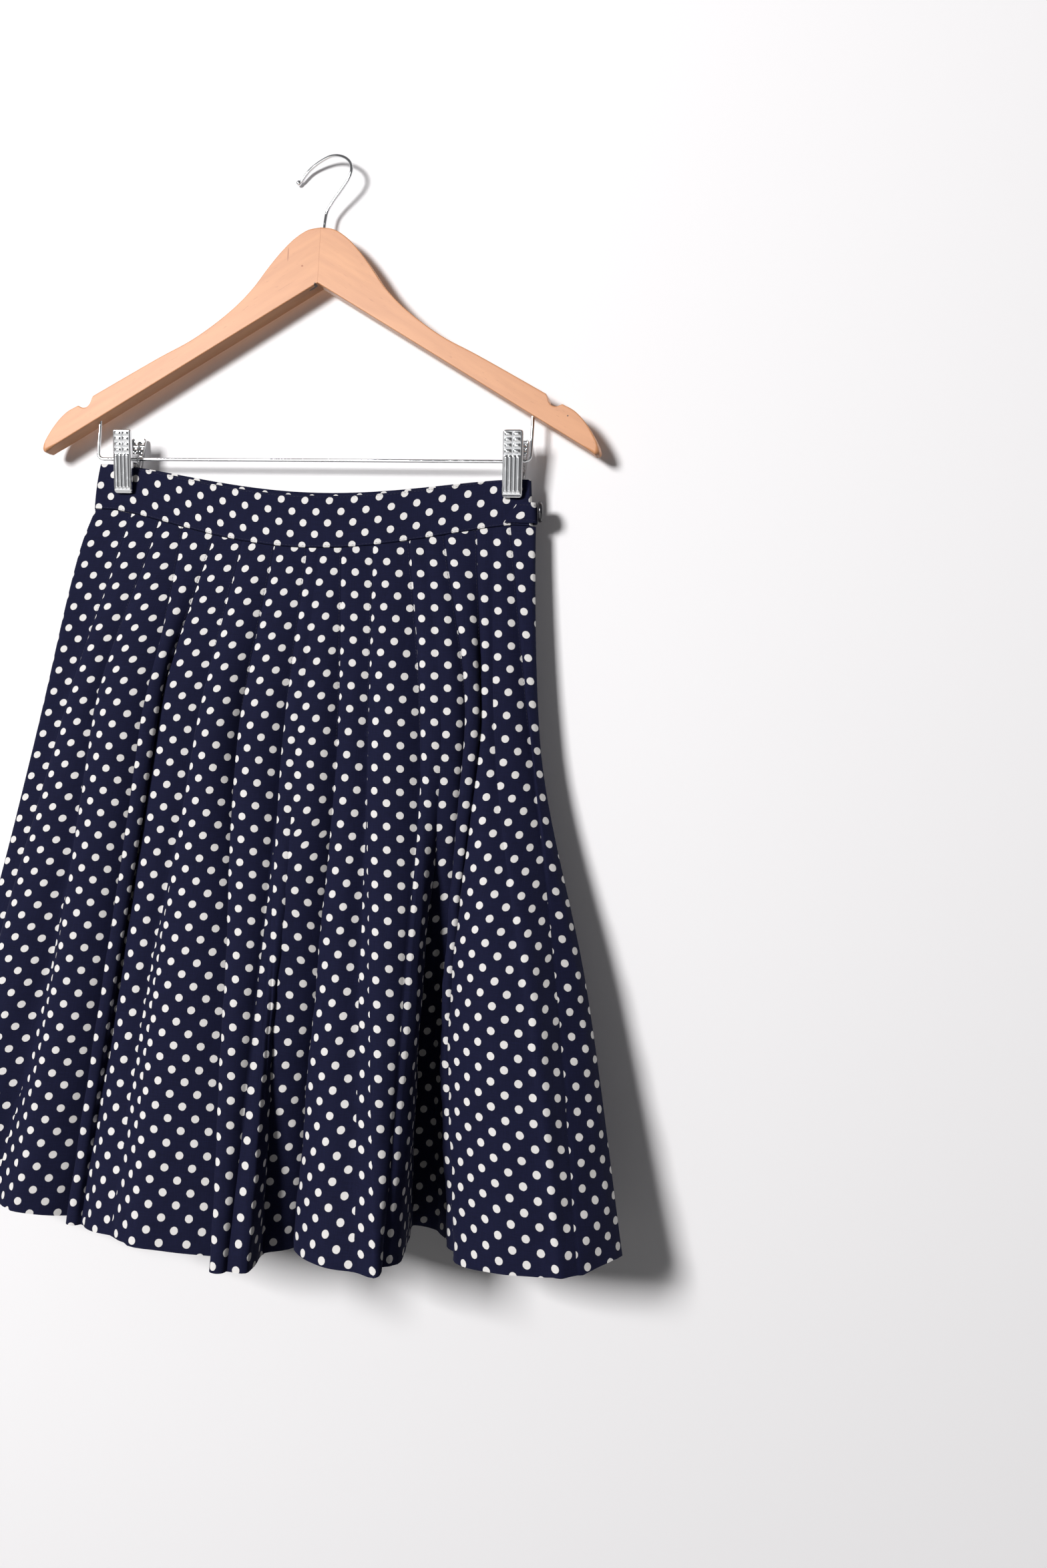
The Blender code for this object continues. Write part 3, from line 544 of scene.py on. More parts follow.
def dotted_cotton(name):
    """Plain-woven cotton, piece dyed navy and printed with white dots. The weave is matt,
    with a soft nap that catches light at the folds and threads that vary a little.

    A dot is where the distance to the nearest point of a staggered lattice, in
    millimetres of flat cloth, is under the dot's radius, with an edge as uneven as ink
    on yarn.
    """
    cloth = bpy.context.scene.skirt_cloth
    material, tree, shader = new_material(
        name, 0.88, Sheen_Weight=0.03, Sheen_Roughness=0.45, Specular_IOR_Level=0.12)
    shader.inputs["Sheen Tint"].default_value = (*linear("#8D93C8"), 1.0)
    flat = add_node(tree, "ShaderNodeUVMap", uv_map="Cloth").outputs["UV"]
    flat = add_node(tree, "ShaderNodeVectorMath", {0: flat}, {"Scale": 1.0 / MM},
                    operation="SCALE").outputs[0]
    repeat = (cloth.repeat_across / MM, cloth.repeat_down / MM, 1.0)
    distances = []
    for shift in (0.0, 0.5):
        cell = flat
        for operation, other in (("DIVIDE", repeat), ("ADD", (shift, shift, 0.0)),
                                 ("FRACTION", repeat), ("SUBTRACT", (0.5, 0.5, 0.0)),
                                 ("MULTIPLY", repeat)):
            cell = add_node(tree, "ShaderNodeVectorMath", {0: cell}, {1: other},
                            operation=operation).outputs[0]
        distances.append(add_node(tree, "ShaderNodeVectorMath", {0: cell},
                                  operation="LENGTH").outputs["Value"])
    nearest = add_node(tree, "ShaderNodeMath", {0: distances[0], 1: distances[1]},
                       operation="MINIMUM").outputs[0]
    yarn = add_node(tree, "ShaderNodeTexNoise", {"Vector": flat},
                    {"Scale": 0.55, "Detail": 3.0, "Roughness": 0.55}).outputs["Fac"]
    uneven = add_node(tree, "ShaderNodeMath", {0: yarn, 2: nearest}, {1: 0.4},
                      operation="MULTIPLY_ADD").outputs[0]
    radius = cloth.dot_size / MM / 2.0 + 0.20
    ink = add_node(tree, "ShaderNodeMapRange", {"Value": uneven},
                   {"From Min": radius + 0.14, "From Max": radius - 0.14},
                   interpolation_type="SMOOTHSTEP").outputs["Result"]
    threads = []
    # Yarns lie 0.4 mm apart in the real cloth and are drawn 0.9 mm apart, to show at all.
    for stretch in ((1.1, 0.11, 1.0), (0.11, 1.1, 1.0)):
        run = add_node(tree, "ShaderNodeVectorMath", {0: flat}, {1: stretch}, operation="MULTIPLY")
        threads.append(add_node(tree, "ShaderNodeTexNoise", {"Vector": run.outputs[0]},
                                {"Scale": 1.0, "Detail": 2.0}).outputs["Fac"])
    weave = add_node(tree, "ShaderNodeMath", {0: threads[0], 1: threads[1]}).outputs[0]
    tone = add_node(tree, "ShaderNodeTexNoise", {"Vector": flat},
                    {"Scale": 0.035, "Detail": 4.0}).outputs["Fac"]
    lint = add_node(tree, "ShaderNodeTexNoise", {"Vector": flat},
                    {"Scale": 0.42, "Detail": 5.0, "Roughness": 0.75}).outputs["Fac"]
    lint = add_node(tree, "ShaderNodeMapRange", {"Value": lint},
                    {"From Min": 0.69, "From Max": 0.80, "To Max": 0.5}).outputs["Result"]
    navy = tuple(cloth.navy)
    deep = tuple(0.72 * c for c in navy)
    pale = tuple(1.12 * c for c in navy)
    worn = add_node(tree, "ShaderNodeMapRange", {"Value": weave},
                    {"From Min": 0.75, "From Max": 1.25}).outputs["Result"]
    ground = deep
    for share, colour in ((tone, navy), (worn, pale), (lint, linear("#6A6C86"))):
        ground = add_node(tree, "ShaderNodeMix", {0: share, 6: ground, 7: colour},
                          data_type="RGBA").outputs[2]
    white = tuple(cloth.dot)
    white = add_node(tree, "ShaderNodeMix", {0: worn, 6: tuple(0.95 * c for c in white), 7: white},
                     data_type="RGBA").outputs[2]
    printed = add_node(tree, "ShaderNodeMix", {0: ink, 6: ground, 7: white}, data_type="RGBA")
    tree.links.new(printed.outputs[2], shader.inputs["Base Color"])
    bump = add_node(tree, "ShaderNodeBump", {"Height": weave},
                    {"Strength": 0.16, "Distance": 0.18 * MM})
    tree.links.new(bump.outputs["Normal"], shader.inputs["Normal"])
    return material


def sewing_thread(name):
    """Spun polyester thread in the ground's navy: matt, with a fine twist."""
    material, tree, shader = new_material(name, 0.7, Sheen_Weight=0.1)
    shader.inputs["Base Color"].default_value = (*linear("#15152F"), 1.0)
    place = add_node(tree, "ShaderNodeTexCoord").outputs["Object"]
    twist = add_node(tree, "ShaderNodeTexNoise", {"Vector": place},
                     {"Scale": 2.2 / MM}).outputs["Fac"]
    bump = add_node(tree, "ShaderNodeBump", {"Height": twist},
                    {"Strength": 0.3, "Distance": 0.1 * MM})
    tree.links.new(bump.outputs["Normal"], shader.inputs["Normal"])
    return material


def varnished_beech(name, slope):
    """Steamed beech, sawn along the arm and sanded, under a thin clear varnish: pinkish
    brown, with faint growth bands and short dark flecks along the grain. Marks: the
    slot cut for the joint under the apex, painted dark brown as painted shade in place of its
    depth, a short crack beside it and two small knots."""
    hanger = bpy.context.scene.skirt_hanger
    material, tree, shader = new_material(name, 0.5, Coat_Weight=0.12, Coat_Roughness=0.35)
    place = add_node(tree, "ShaderNodeTexCoord").outputs["Object"]
    turned = add_node(tree, "ShaderNodeMapping", {"Vector": place},
                      {"Rotation": (0.0, slope, 0.0), "Scale": (1.0 / MM, 1.0 / MM, 1.0 / MM)})
    along = turned.outputs["Vector"]
    patterns = []
    for stretch, scale, detail in (((0.05, 0.4, 0.4), 0.45, 5.0), ((0.16, 1.0, 1.0), 0.9, 2.0),
                                   ((0.25, 1.0, 1.0), 0.035, 3.0)):
        run = add_node(tree, "ShaderNodeVectorMath", {0: along}, {1: stretch},
                       operation="MULTIPLY")
        patterns.append(add_node(tree, "ShaderNodeTexNoise", {"Vector": run.outputs[0]},
                                 {"Scale": scale, "Detail": detail}).outputs["Fac"])
    bands, flecks, patch = [
        add_node(tree, "ShaderNodeMapRange", {"Value": pattern},
                 {"From Min": start, "From Max": end, "To Max": high}).outputs["Result"]
        for pattern, start, end, high in zip(patterns, (0.35, 0.66, 0.3), (0.75, 0.74, 0.7),
                                             (1.0, 0.45, 0.35))]
    light = tuple(hanger.beech)
    brown = tuple(0.55 * a + 0.45 * b for a, b in zip(light, hanger.beech_dark))
    layers = [(bands, brown), (patch, linear("#CF906A")), (flecks, tuple(hanger.beech_dark))]
    # Each mark mixes in its own colour; for the slot under the apex that colour is painted shade.
    for middle, reach, code in WOOD_MARKS_AND_SLOT_SHADE:
        mark_or_slot_shade = place
        for operation, other in (("SUBTRACT", tuple(v * MM for v in middle)),
                                 ("MULTIPLY", tuple(1.0 / (v * MM) for v in reach))):
            mark_or_slot_shade = add_node(tree, "ShaderNodeVectorMath", {0: mark_or_slot_shade}, {1: other},
                            operation=operation).outputs[0]
        mark_or_slot_shade = add_node(tree, "ShaderNodeVectorMath", {0: mark_or_slot_shade}, operation="LENGTH")
        mark_or_slot_shade = add_node(tree, "ShaderNodeMapRange", {"Value": mark_or_slot_shade.outputs["Value"]},
                        {"From Min": MARK_EDGE[0], "From Max": MARK_EDGE[1]})
        layers.append((mark_or_slot_shade.outputs["Result"], linear(code)))
    colour = light
    for share, over in layers:
        colour = add_node(tree, "ShaderNodeMix", {0: share, 6: colour, 7: over},
                          data_type="RGBA").outputs[2]
    tree.links.new(colour, shader.inputs["Base Color"])
    bump = add_node(tree, "ShaderNodeBump", {"Height": patterns[1]},
                    {"Strength": 0.12, "Distance": 0.2 * MM})
    tree.links.new(bump.outputs["Normal"], shader.inputs["Normal"])
    return material


def bright_chrome(name):
    """Decorative chrome over nickel on drawn or pressed steel: mirror bright, with faint
    finger marks that dull it in patches."""
    material, tree, shader = new_material(name, 0.08, metallic=1.0)
    shader.inputs["Base Color"].default_value = (*bpy.context.scene.skirt_hanger.chrome, 1.0)
    place = add_node(tree, "ShaderNodeTexCoord").outputs["Object"]
    marks = add_node(tree, "ShaderNodeTexNoise", {"Vector": place},
                     {"Scale": 0.22 / MM, "Detail": 4.0}).outputs["Fac"]
    dull = add_node(tree, "ShaderNodeMapRange", {"Value": marks},
                    {"From Min": 0.45, "From Max": 0.75, "To Min": 0.06, "To Max": 0.24})
    tree.links.new(dull.outputs["Result"], shader.inputs["Roughness"])
    return material


def dark_polyester(name):
    """Cast polyester button, turned and tumbled: near black, glossy, with a faint swirl."""
    material, tree, shader = new_material(name, 0.2, Coat_Weight=0.4)
    place = add_node(tree, "ShaderNodeTexCoord").outputs["Object"]
    swirl = add_node(tree, "ShaderNodeTexNoise", {"Vector": place},
                     {"Scale": 0.3 / MM, "Detail": 3.0, "Distortion": 1.5}).outputs["Fac"]
    colour = add_node(tree, "ShaderNodeMix", {0: swirl, 6: linear("#0E0D12"), 7: linear("#2A2930")},
                      data_type="RGBA")
    tree.links.new(colour.outputs[2], shader.inputs["Base Color"])
    return material


def cloth_material():
    return material_named("dotted cotton", dotted_cotton)


def thread_material():
    return material_named("navy thread", sewing_thread)


def chrome_material():
    return material_named("bright chrome", bright_chrome)


def fold_knots(fold, base_waist, base_end, rows):
    """The point tucked under a fold and the point on its edge, at each height."""
    sewn_dip = SEWN_STEP if fold.sewn else (0.0, 0.0)
    sewn_tuck = SEWN_TUCK if fold.sewn else FREE_TUCK
    tucks = (sewn_tuck, sewn_tuck, fold.tuck_mid, fold.tuck_hem)
    dips = (*sewn_dip, fold.dip_mid, fold.dip_hem)
    outs = (base_waist + sewn_dip[0], base_end + sewn_dip[1], fold.out_mid, fold.out_hem)
    x = smooth_through(HEIGHTS, (fold.waist, fold.end, fold.mid, fold.hem), rows)
    out = smooth_through(HEIGHTS, outs, rows)
    tuck = smooth_through(HEIGHTS, tucks, rows)
    dip = smooth_through(HEIGHTS, dips, rows)
    return np.stack([x + tuck, out - dip], axis=-1), np.stack([x, out], axis=-1)


def side_knots(side, depth, rows):
    """The side seam and the turn of cloth beside it, at each height."""
    x = smooth_through(SIDE_HEIGHTS, side, rows)
    out = smooth_through(HEIGHTS, depth, rows) + SEAM_GAP / 2.0
    inset = smooth_through(HEIGHTS, SEAM_INSET, rows)
    turn = smooth_through(HEIGHTS, SEAM_TURN, rows)
    bend = np.stack([x - np.sign(side[0]) * inset, out + turn], axis=-1)
    return np.stack([x, out], axis=-1), bend


def panel_curve(folds, sides, depth, waist_belly, hip, rows):
    """Section of a panel at each height as (x, out): one smooth curve through the side
    seam, each fold's tucked point and edge, and the swell of the cloth between folds.
    Also the hem's height under each point."""
    left_seam, left_bend = side_knots(sides[0], depth, rows)
    right_seam, right_bend = side_knots(sides[1], depth, rows)
    knots = [left_seam, left_bend]
    hems = [SIDE_HEM_Z, SIDE_HEM_Z]
    swell = None
    for fold in folds:
        base_waist = WAIST_OUT + waist_belly * belly(fold.waist)
        base_end = hip[0] * (1.0 - (fold.end / HIP_REACH) ** 4) + hip[1]
        under, edge = fold_knots(fold, base_waist, base_end, rows)
        if swell is not None:
            crest = (knots[-1] + under) / 2.0
            crest[:, 1] += swell
            knots.append(crest)
            hems.append((hems[-1] + fold.hem_z) / 2.0)
        knots += [under, edge]
        hems += [fold.hem_z, fold.hem_z]
        swell = smooth_through(HEIGHTS, (*SEWN_SWELL, fold.swell_mid, fold.swell_hem), rows)
    knots += [right_bend, right_seam]
    hems += [SIDE_HEM_Z, SIDE_HEM_Z]
    curve = flow_through(np.stack(knots, axis=1), SPAN_SAMPLES)
    along = np.arange(curve.shape[1]) / SPAN_SAMPLES
    return curve, np.interp(along, np.arange(len(hems)), hems)


def section_normals(curve):
    """Unit normals to the cloth's outer side, in the plane of each section."""
    steps = np.diff(curve, axis=1)
    steps /= np.linalg.norm(steps, axis=2, keepdims=True)
    tangent = np.concatenate([steps[:, :1], steps[:, :-1] + steps[:, 1:], steps[:, -1:]], axis=1)
    tangent /= np.linalg.norm(tangent, axis=2, keepdims=True)
    normal = np.stack([-tangent[..., 1], tangent[..., 0]], axis=-1)
    normal[:, 0] = (-1.0, 0.0)
    normal[:, -1] = (1.0, 0.0)
    return normal


Drape = namedtuple("Drape", "outer inner arc fall normal edges sewn place")


def arc_lengths(curve):
    """Length along each section from its start to each point."""
    steps = np.linalg.norm(np.diff(curve, axis=1), axis=2)
    return np.concatenate([np.zeros((len(curve), 1)), np.cumsum(steps, axis=1)], axis=1)


def rolled_strips(folds, arc, edges, rows):
    """Rise of the cloth between stitched lines. Each strip rolls up steeply from its folded
    edge and falls to the next line: with s the share of the way across it, the rise goes
    with the root of s times (1 - s) to the power ROLL_FALL, scaled to a crest of 1."""
    height = smooth_through(ROLL_HEIGHTS, ROLLS, rows)[:, None]
    rise = np.zeros_like(arc)
    sewn = [(fold, column) for fold, column in zip(folds, edges) if fold.sewn]
    for (fold, start), (_, end) in zip(sewn, sewn[1:]):
        part = slice(start, end - SPAN_SAMPLES + 1)
        strip = arc[:, part] - arc[:, start:start + 1]
        s = strip / strip[:, -1:]
        share = ROLL_SHARES.get(fold.name, BACK_ROLL)
        rise[:, part] = ROLL_SCALE * share * height * np.sqrt(s) * (1.0 - s) ** ROLL_FALL
    return rise


def drape_panel(folds, sides, depth, waist_belly, hip, sag_depth, facing):
    """One skirt panel as a thin closed sheet. Its sections are those of panel_curve, and
    relief is added along the section's normal: the roll of each strip, puckers beside
    each stitched line, which fade away from it, a groove along the line, and
    long shallow waves in the free cloth below. The inner side lies one cloth wall in, and
    more where the hem is turned up."""
    rows = np.linspace(0.0, 1.0, PANEL_ROWS)
    curve, hem_z = panel_curve(folds, sides, depth, waist_belly, hip, rows)
    arc = arc_lengths(curve)
    top_z = sag(-facing * curve[0, :, 0], SEAM_ENDS, sag_depth) - SEAM_GAP
    z = top_z + (hem_z - top_z) * rows[:, None]
    edges = SPAN_SAMPLES * (3 + 3 * np.arange(len(folds)))
    sewn = np.array([fold.sewn for fold in folds])
    normal = section_normals(curve)
    free = step_between(*FREE_FROM, rows)[:, None]
    held = 1.0 - step_between(*PUCKER_FADE, rows)[:, None]
    rise, pitch, shift = PUCKER
    relief = rolled_strips(folds, arc, edges, rows)
    for height, across, down, start in CLOTH_WAVES:
        relief += height * free * np.sin(2.0 * math.pi * (arc / across + z / down) + start)
    for number, column in enumerate(edges[sewn]):
        from_line = arc - arc[:, column:column + 1]
        beside = np.exp(-((from_line + 2.0) / 4.0) ** 2)
        relief += rise * held * beside * np.sin(2.0 * math.pi * z / pitch + shift * number)
        relief -= SEAM_GROOVE[0] * held * np.exp(-((from_line + 0.5) / SEAM_GROOVE[1]) ** 2)
    quiet = np.ones(curve.shape[1])
    quiet[:SPAN_SAMPLES] = np.linspace(0.0, 1.0, SPAN_SAMPLES)
    quiet[-SPAN_SAMPLES:] = np.linspace(1.0, 0.0, SPAN_SAMPLES)
    shown = curve + (relief * quiet)[..., None] * normal
    arc = arc_lengths(shown)
    turned_up = step_between(-HEM_DEPTH - 0.8, -HEM_DEPTH, hem_z - z)
    wall = CLOTH_WALL + (HEM_WALL - CLOTH_WALL) * turned_up
    inside = shown - wall[..., None] * normal

    def place(section):
        return np.stack([-facing * section[..., 0], facing * section[..., 1], z], axis=-1)

    outer = place(shown)
    lengths = np.linalg.norm(np.diff(outer, axis=0), axis=2)
    fall = np.concatenate([np.zeros((1, outer.shape[1])), np.cumsum(lengths, axis=0)])
    fall -= top_z
    outward = np.stack([-facing * normal[..., 0], facing * normal[..., 1], 0.0 * z], axis=-1)
    return Drape(outer, place(inside), arc, fall, outward, edges, sewn, rows)


def flat_coordinates(drape):
    """Where each cell's corners lie on the flat cloth, as (rows, cells, 4, 2).

    Between two stitched pleats the cloth is one strip. Across it, the flat position is
    the arc length from the strip's folded edge, and each pleat takes up a length of
    hidden cloth before the next strip starts. Down it, it is the length along that
    edge, corrected by how much higher or lower the point lies."""
    cells = drape.arc.shape[1] - 1
    sewn_columns = drape.edges[drape.sewn]
    anchors = np.concatenate([[0], sewn_columns])
    starts = sewn_columns - SPAN_SAMPLES
    strip = np.searchsorted(starts, np.arange(cells), side="right")
    first = drape.arc[0, anchors] + PLEAT_TAKE * np.arange(len(anchors))
    across = drape.arc[:, anchors][:, strip]
    down = (drape.fall[:, anchors] + drape.outer[:, anchors, 2])[:, strip]

    def corner(columns):
        u = drape.arc[:, columns] - across + first[strip]
        return np.stack([u, down - drape.outer[:, columns, 2]], axis=-1)

    left = corner(slice(0, cells))
    right = corner(slice(1, cells + 1))
    return np.stack([left[:-1], left[1:], right[1:], right[:-1]], axis=2)


def close_sheet(outer, inner, cell_uv):
    """Points, faces and UVs of a closed sheet: both sides and the rim round them."""
    rows, columns, _ = outer.shape
    count = rows * columns
    front = grid_cells(rows, columns)
    index = np.arange(count).reshape(rows, columns)
    ring = np.concatenate([index[0, :-1], index[:-1, -1], index[-1, :0:-1], index[:0:-1, 0]])
    after = np.roll(ring, -1)
    rim = np.stack([ring, after, after + count, ring + count], axis=-1)
    corner_uv = np.zeros((count, 2))
    flat = cell_uv.reshape(-1, 4, 2)
    for i in range(4):
        corner_uv[front[:, i]] = flat[:, i]
    points = np.concatenate([outer.reshape(-1, 3), inner.reshape(-1, 3)])
    faces = np.concatenate([front, front[:, ::-1] + count, rim])
    uv = np.concatenate([flat, flat[:, ::-1], corner_uv[rim % count]])
    return points, faces, uv


def stitches(path, normal, share_shown=1.0):
    """Stitches along path (n, 3): short capsules at an even pitch, each as few rings
    whose radius follows STITCH_RINGS and whose middle rises on the cloth's normal."""
    arc = path_lengths(path)
    starts = np.arange(0.0, arc[-1] * share_shown - STITCH, STITCH_PITCH)
    steps = starts[:, None] + STITCH * np.linspace(0.0, 1.0, len(STITCH_RINGS))
    middle = read_at(steps, arc, path)
    up = read_at(steps, arc, normal)
    up /= np.linalg.norm(up, axis=2, keepdims=True)
    ring = np.array(STITCH_RINGS) * STITCH_RADIUS
    middle += up * (ring - 0.35 * STITCH_RADIUS)[None, :, None]
    run = middle[:, -1:] - middle[:, :1]
    run /= np.linalg.norm(run, axis=2, keepdims=True)
    side = np.cross(run, up)
    angle = np.linspace(0.0, 2.0 * math.pi, STITCH_SIDES, endpoint=False)
    around = (np.cos(angle)[None, None, :, None] * up[:, :, None]
              + np.sin(angle)[None, None, :, None] * side[:, :, None])
    return middle[:, :, None] + ring[None, :, None, None] * around


def add_stitches(name, runs, stood_on):
    """One piece from several runs of stitches, each stitch a closed capsule."""
    points = np.concatenate(runs)
    rings, sides = len(STITCH_RINGS), STITCH_SIDES
    index = np.arange(rings * sides).reshape(rings, sides)
    wrapped = np.concatenate([index, index[:, :1]], axis=1)
    skin = np.stack(cell_corners(wrapped), axis=-1)
    half = sides // 2
    caps = [index[end, list(corners)] for end in (0, -1)
            for corners in ((0, 1, 2, half), (half, half + 1, half + 2, 0))]
    capsule = np.concatenate([skin.reshape(-1, 4), np.array(caps)])
    shift = rings * sides * np.arange(len(points))
    faces = (capsule[None] + shift[:, None, None]).reshape(-1, 4)
    piece = add_piece(name, points, faces, thread_material(), "cloth", sharp=60.0)
    piece.parent = stood_on
    return piece


def pleat_stitches(drape, folds):
    """Topstitching beside each pleat seam, from the waist to where the pleat opens."""
    rows = drape.place <= SEWN_SHARE
    runs = []
    for fold, column in zip(folds, drape.edges):
        if not fold.sewn:
            continue
        wanted = drape.arc[rows, column] - TOPSTITCH + SEWN_TUCK
        path, up = [np.array([read_at(at, arc, line) for at, arc, line
                              in zip(wanted, drape.arc[rows], lines[rows])])
                    for lines in (drape.outer, drape.normal)]
        runs.append(stitches(path, up))
    return runs


def add_panel(name, folds, sides, depth, waist_belly, hip, sag_depth, facing):
    drape = drape_panel(folds, sides, depth, waist_belly, hip, sag_depth, facing)
    points, faces, uv = close_sheet(drape.outer, drape.inner, flat_coordinates(drape))
    panel = add_piece(f"{name}_cloth", points, faces, cloth_material(), "cloth", uv, sharp=60.0)
    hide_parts(name)
    sewing = add_stitches(f"{name}_stitching", pleat_stitches(drape, folds), panel)


class SKIRT_OT_panels(bpy.types.Operator):
    """Build the front and back skirt panels with their pleat stitching"""

    bl_idname = "skirt.panels"
    bl_label = "Skirt panels"

    def execute(self, context):
        front_depth = tuple(-y for y in SIDE_DEPTH)
        add_panel("skirt_front", FRONT_FOLDS, (LEFT_SIDE, RIGHT_SIDE), front_depth,
                  FRONT_BELLY[0], FRONT_HIP, FRONT_SAG[0], -1)
        behind = (tuple(-x for x in RIGHT_SIDE), tuple(-x for x in LEFT_SIDE))
        add_panel("skirt_back", BACK_FOLDS, behind, SIDE_DEPTH,
                  BACK_BELLY[0], BACK_HIP, BACK_SAG[0], 1)
        return {"FINISHED"}


def band_sides(bellies, sags, facing):
    """Outer and inner side of a waistband half, as grids of rows and columns.

    The half is a strip between the waist seam and the top edge. It bows out between
    the clips, its thickness is that of the folded cloth and falls to nothing along its
    four edges like a half circle, and each line of topstitching presses a groove into
    it. Shallow waves and the pull of the clips crease it."""
    rows = np.concatenate([0.5 - 0.5 * np.cos(np.linspace(0.0, 0.9, 8)),
                           np.linspace(0.21, 0.79, 24),
                           0.5 + 0.5 * np.cos(np.linspace(0.9, 0.0, 8))])[:, None]
    turn = np.linspace(-math.pi / 2.0, math.pi / 2.0, 190)
    share = 0.25 * np.sin(turn) + 0.75 * turn / (math.pi / 2.0)
    left = BAND_LEFT[0] + (BAND_LEFT[1] - BAND_LEFT[0]) * rows**BAND_BULGE
    right = BAND_RIGHT[0] + (BAND_RIGHT[1] - BAND_RIGHT[0]) * rows
    middle = (left + right) / 2.0
    half = (right - left) / 2.0
    x = middle + half * share
    bow = (bellies[0] + (bellies[1] - bellies[0]) * rows) * belly(x)
    end = np.clip((np.abs(x - middle) - half + BAND_CLOTH) / BAND_CLOTH, 0.0, 1.0)
    seam_z = sag(x, SEAM_ENDS, sags[0])
    top_z = sag(x, TOP_ENDS, sags[1])
    height = top_z - seam_z
    z = seam_z + height * rows
    from_edge = np.minimum(rows, 1.0 - rows) * height
    lip = 1.0 - np.minimum(from_edge, BAND_LIP) / BAND_LIP
    lip = np.sqrt(np.clip(1.0 - lip**2, 0.0, 1.0))
    groove = BAND_GROOVE[0] * np.exp(-((from_edge - BAND_STITCH) / BAND_GROOVE[1]) ** 2)
    wave, across, down = BAND_WAVE
    wave = wave * np.sin(2.0 * math.pi * (x / across + z / down)) * belly(x * 0.9)
    pull = np.zeros_like(x)
    for clip in CLIP_X:
        beside = np.abs(x - clip) - JAW_WIDTHS[0] / 2.0
        pull += CLIP_PULL[0] * np.exp(-(beside / CLIP_PULL[1]) ** 2) * np.sin(math.pi * rows) ** 2
    thick = (BAND_CLOTH + SEAM_GAP / 2.0) * np.sqrt(1.0 - end**2) * (0.35 + 0.65 * lip)
    out = SEAM_GAP / 2.0 + thick
    crease, crease_x, slope, crease_z, width = CLOSURE_CREASE
    from_crease = (x - crease_x) - slope * (z - crease_z)
    crease = crease * np.exp(-(from_crease / width) ** 2) * (facing < 0)
    quiet = 1.0 - end
    outer_out = out + bow + (wave + pull - groove - crease * step_between(0.0, 0.7, rows)) * quiet
    inner_out = SEAM_GAP / 2.0 + SEAM_GAP / 2.0 * np.sqrt(1.0 - end**2) + bow
    inner_x = middle + (half - BAND_CLOTH) * share
    outer = np.stack([x, facing * outer_out, z], axis=-1)
    inner = np.stack([inner_x, facing * inner_out, z], axis=-1)
    return outer, inner


def across_sheet(grid):
    """Flat position of each cell's corners: arc length along the row through the middle,
    and distance up from the lower edge."""
    middle = grid[len(grid) // 2]
    along = path_lengths(middle)
    up = np.concatenate([np.zeros((1, grid.shape[1])),
                         np.cumsum(np.linalg.norm(np.diff(grid, axis=0), axis=2), axis=0)])
    place = np.stack([np.broadcast_to(along, up.shape), up], axis=-1)
    return np.stack(cell_corners(place), axis=2)


def band_stitch_runs(outer, facing):
    """Topstitching below the top edge and above the waist seam."""
    runs = []
    for step in (1, -1):
        lines = outer[::step]
        climb = np.cumsum(np.linalg.norm(np.diff(lines, axis=0), axis=2), axis=0)
        row = int(np.argmin(np.abs(climb[:, climb.shape[1] // 2] - BAND_STITCH))) + 1
        path = lines[row][6:-6]
        normal = np.tile((0.0, float(facing), 0.0), (len(path), 1))
        runs.append(stitches(path, normal))
    return runs


def band_right_end(z):
    """X of the waistband's right end at a height."""
    low = sag(BAND_RIGHT[0], SEAM_ENDS, FRONT_SAG[0])
    high = sag(BAND_RIGHT[1], TOP_ENDS, FRONT_SAG[1])
    return BAND_RIGHT[0] + (BAND_RIGHT[1] - BAND_RIGHT[0]) * (z - low) / (high - low)


class SKIRT_OT_waistband(bpy.types.Operator):
    """Build both halves of the waistband with their topstitching"""

    bl_idname = "skirt.waistband"
    bl_label = "Waistband"

    def execute(self, context):
        for label, bellies, sags, facing in (("front", FRONT_BELLY, FRONT_SAG, -1),
                                             ("back", BACK_BELLY, BACK_SAG, 1)):
            outer, inner = band_sides(bellies, sags, facing)
            uv = across_sheet(outer) + np.array((4.0, 6.0))
            points, faces, uv = close_sheet(outer, inner, uv)
            band = add_piece(f"waistband_{label}_cloth", points, faces, cloth_material(),
                             "cloth", uv)
            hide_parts(f"waistband_{label}")
            sewing = add_stitches(f"waistband_{label}_stitching",
                                  band_stitch_runs(outer, facing), band)
        return {"FINISHED"}


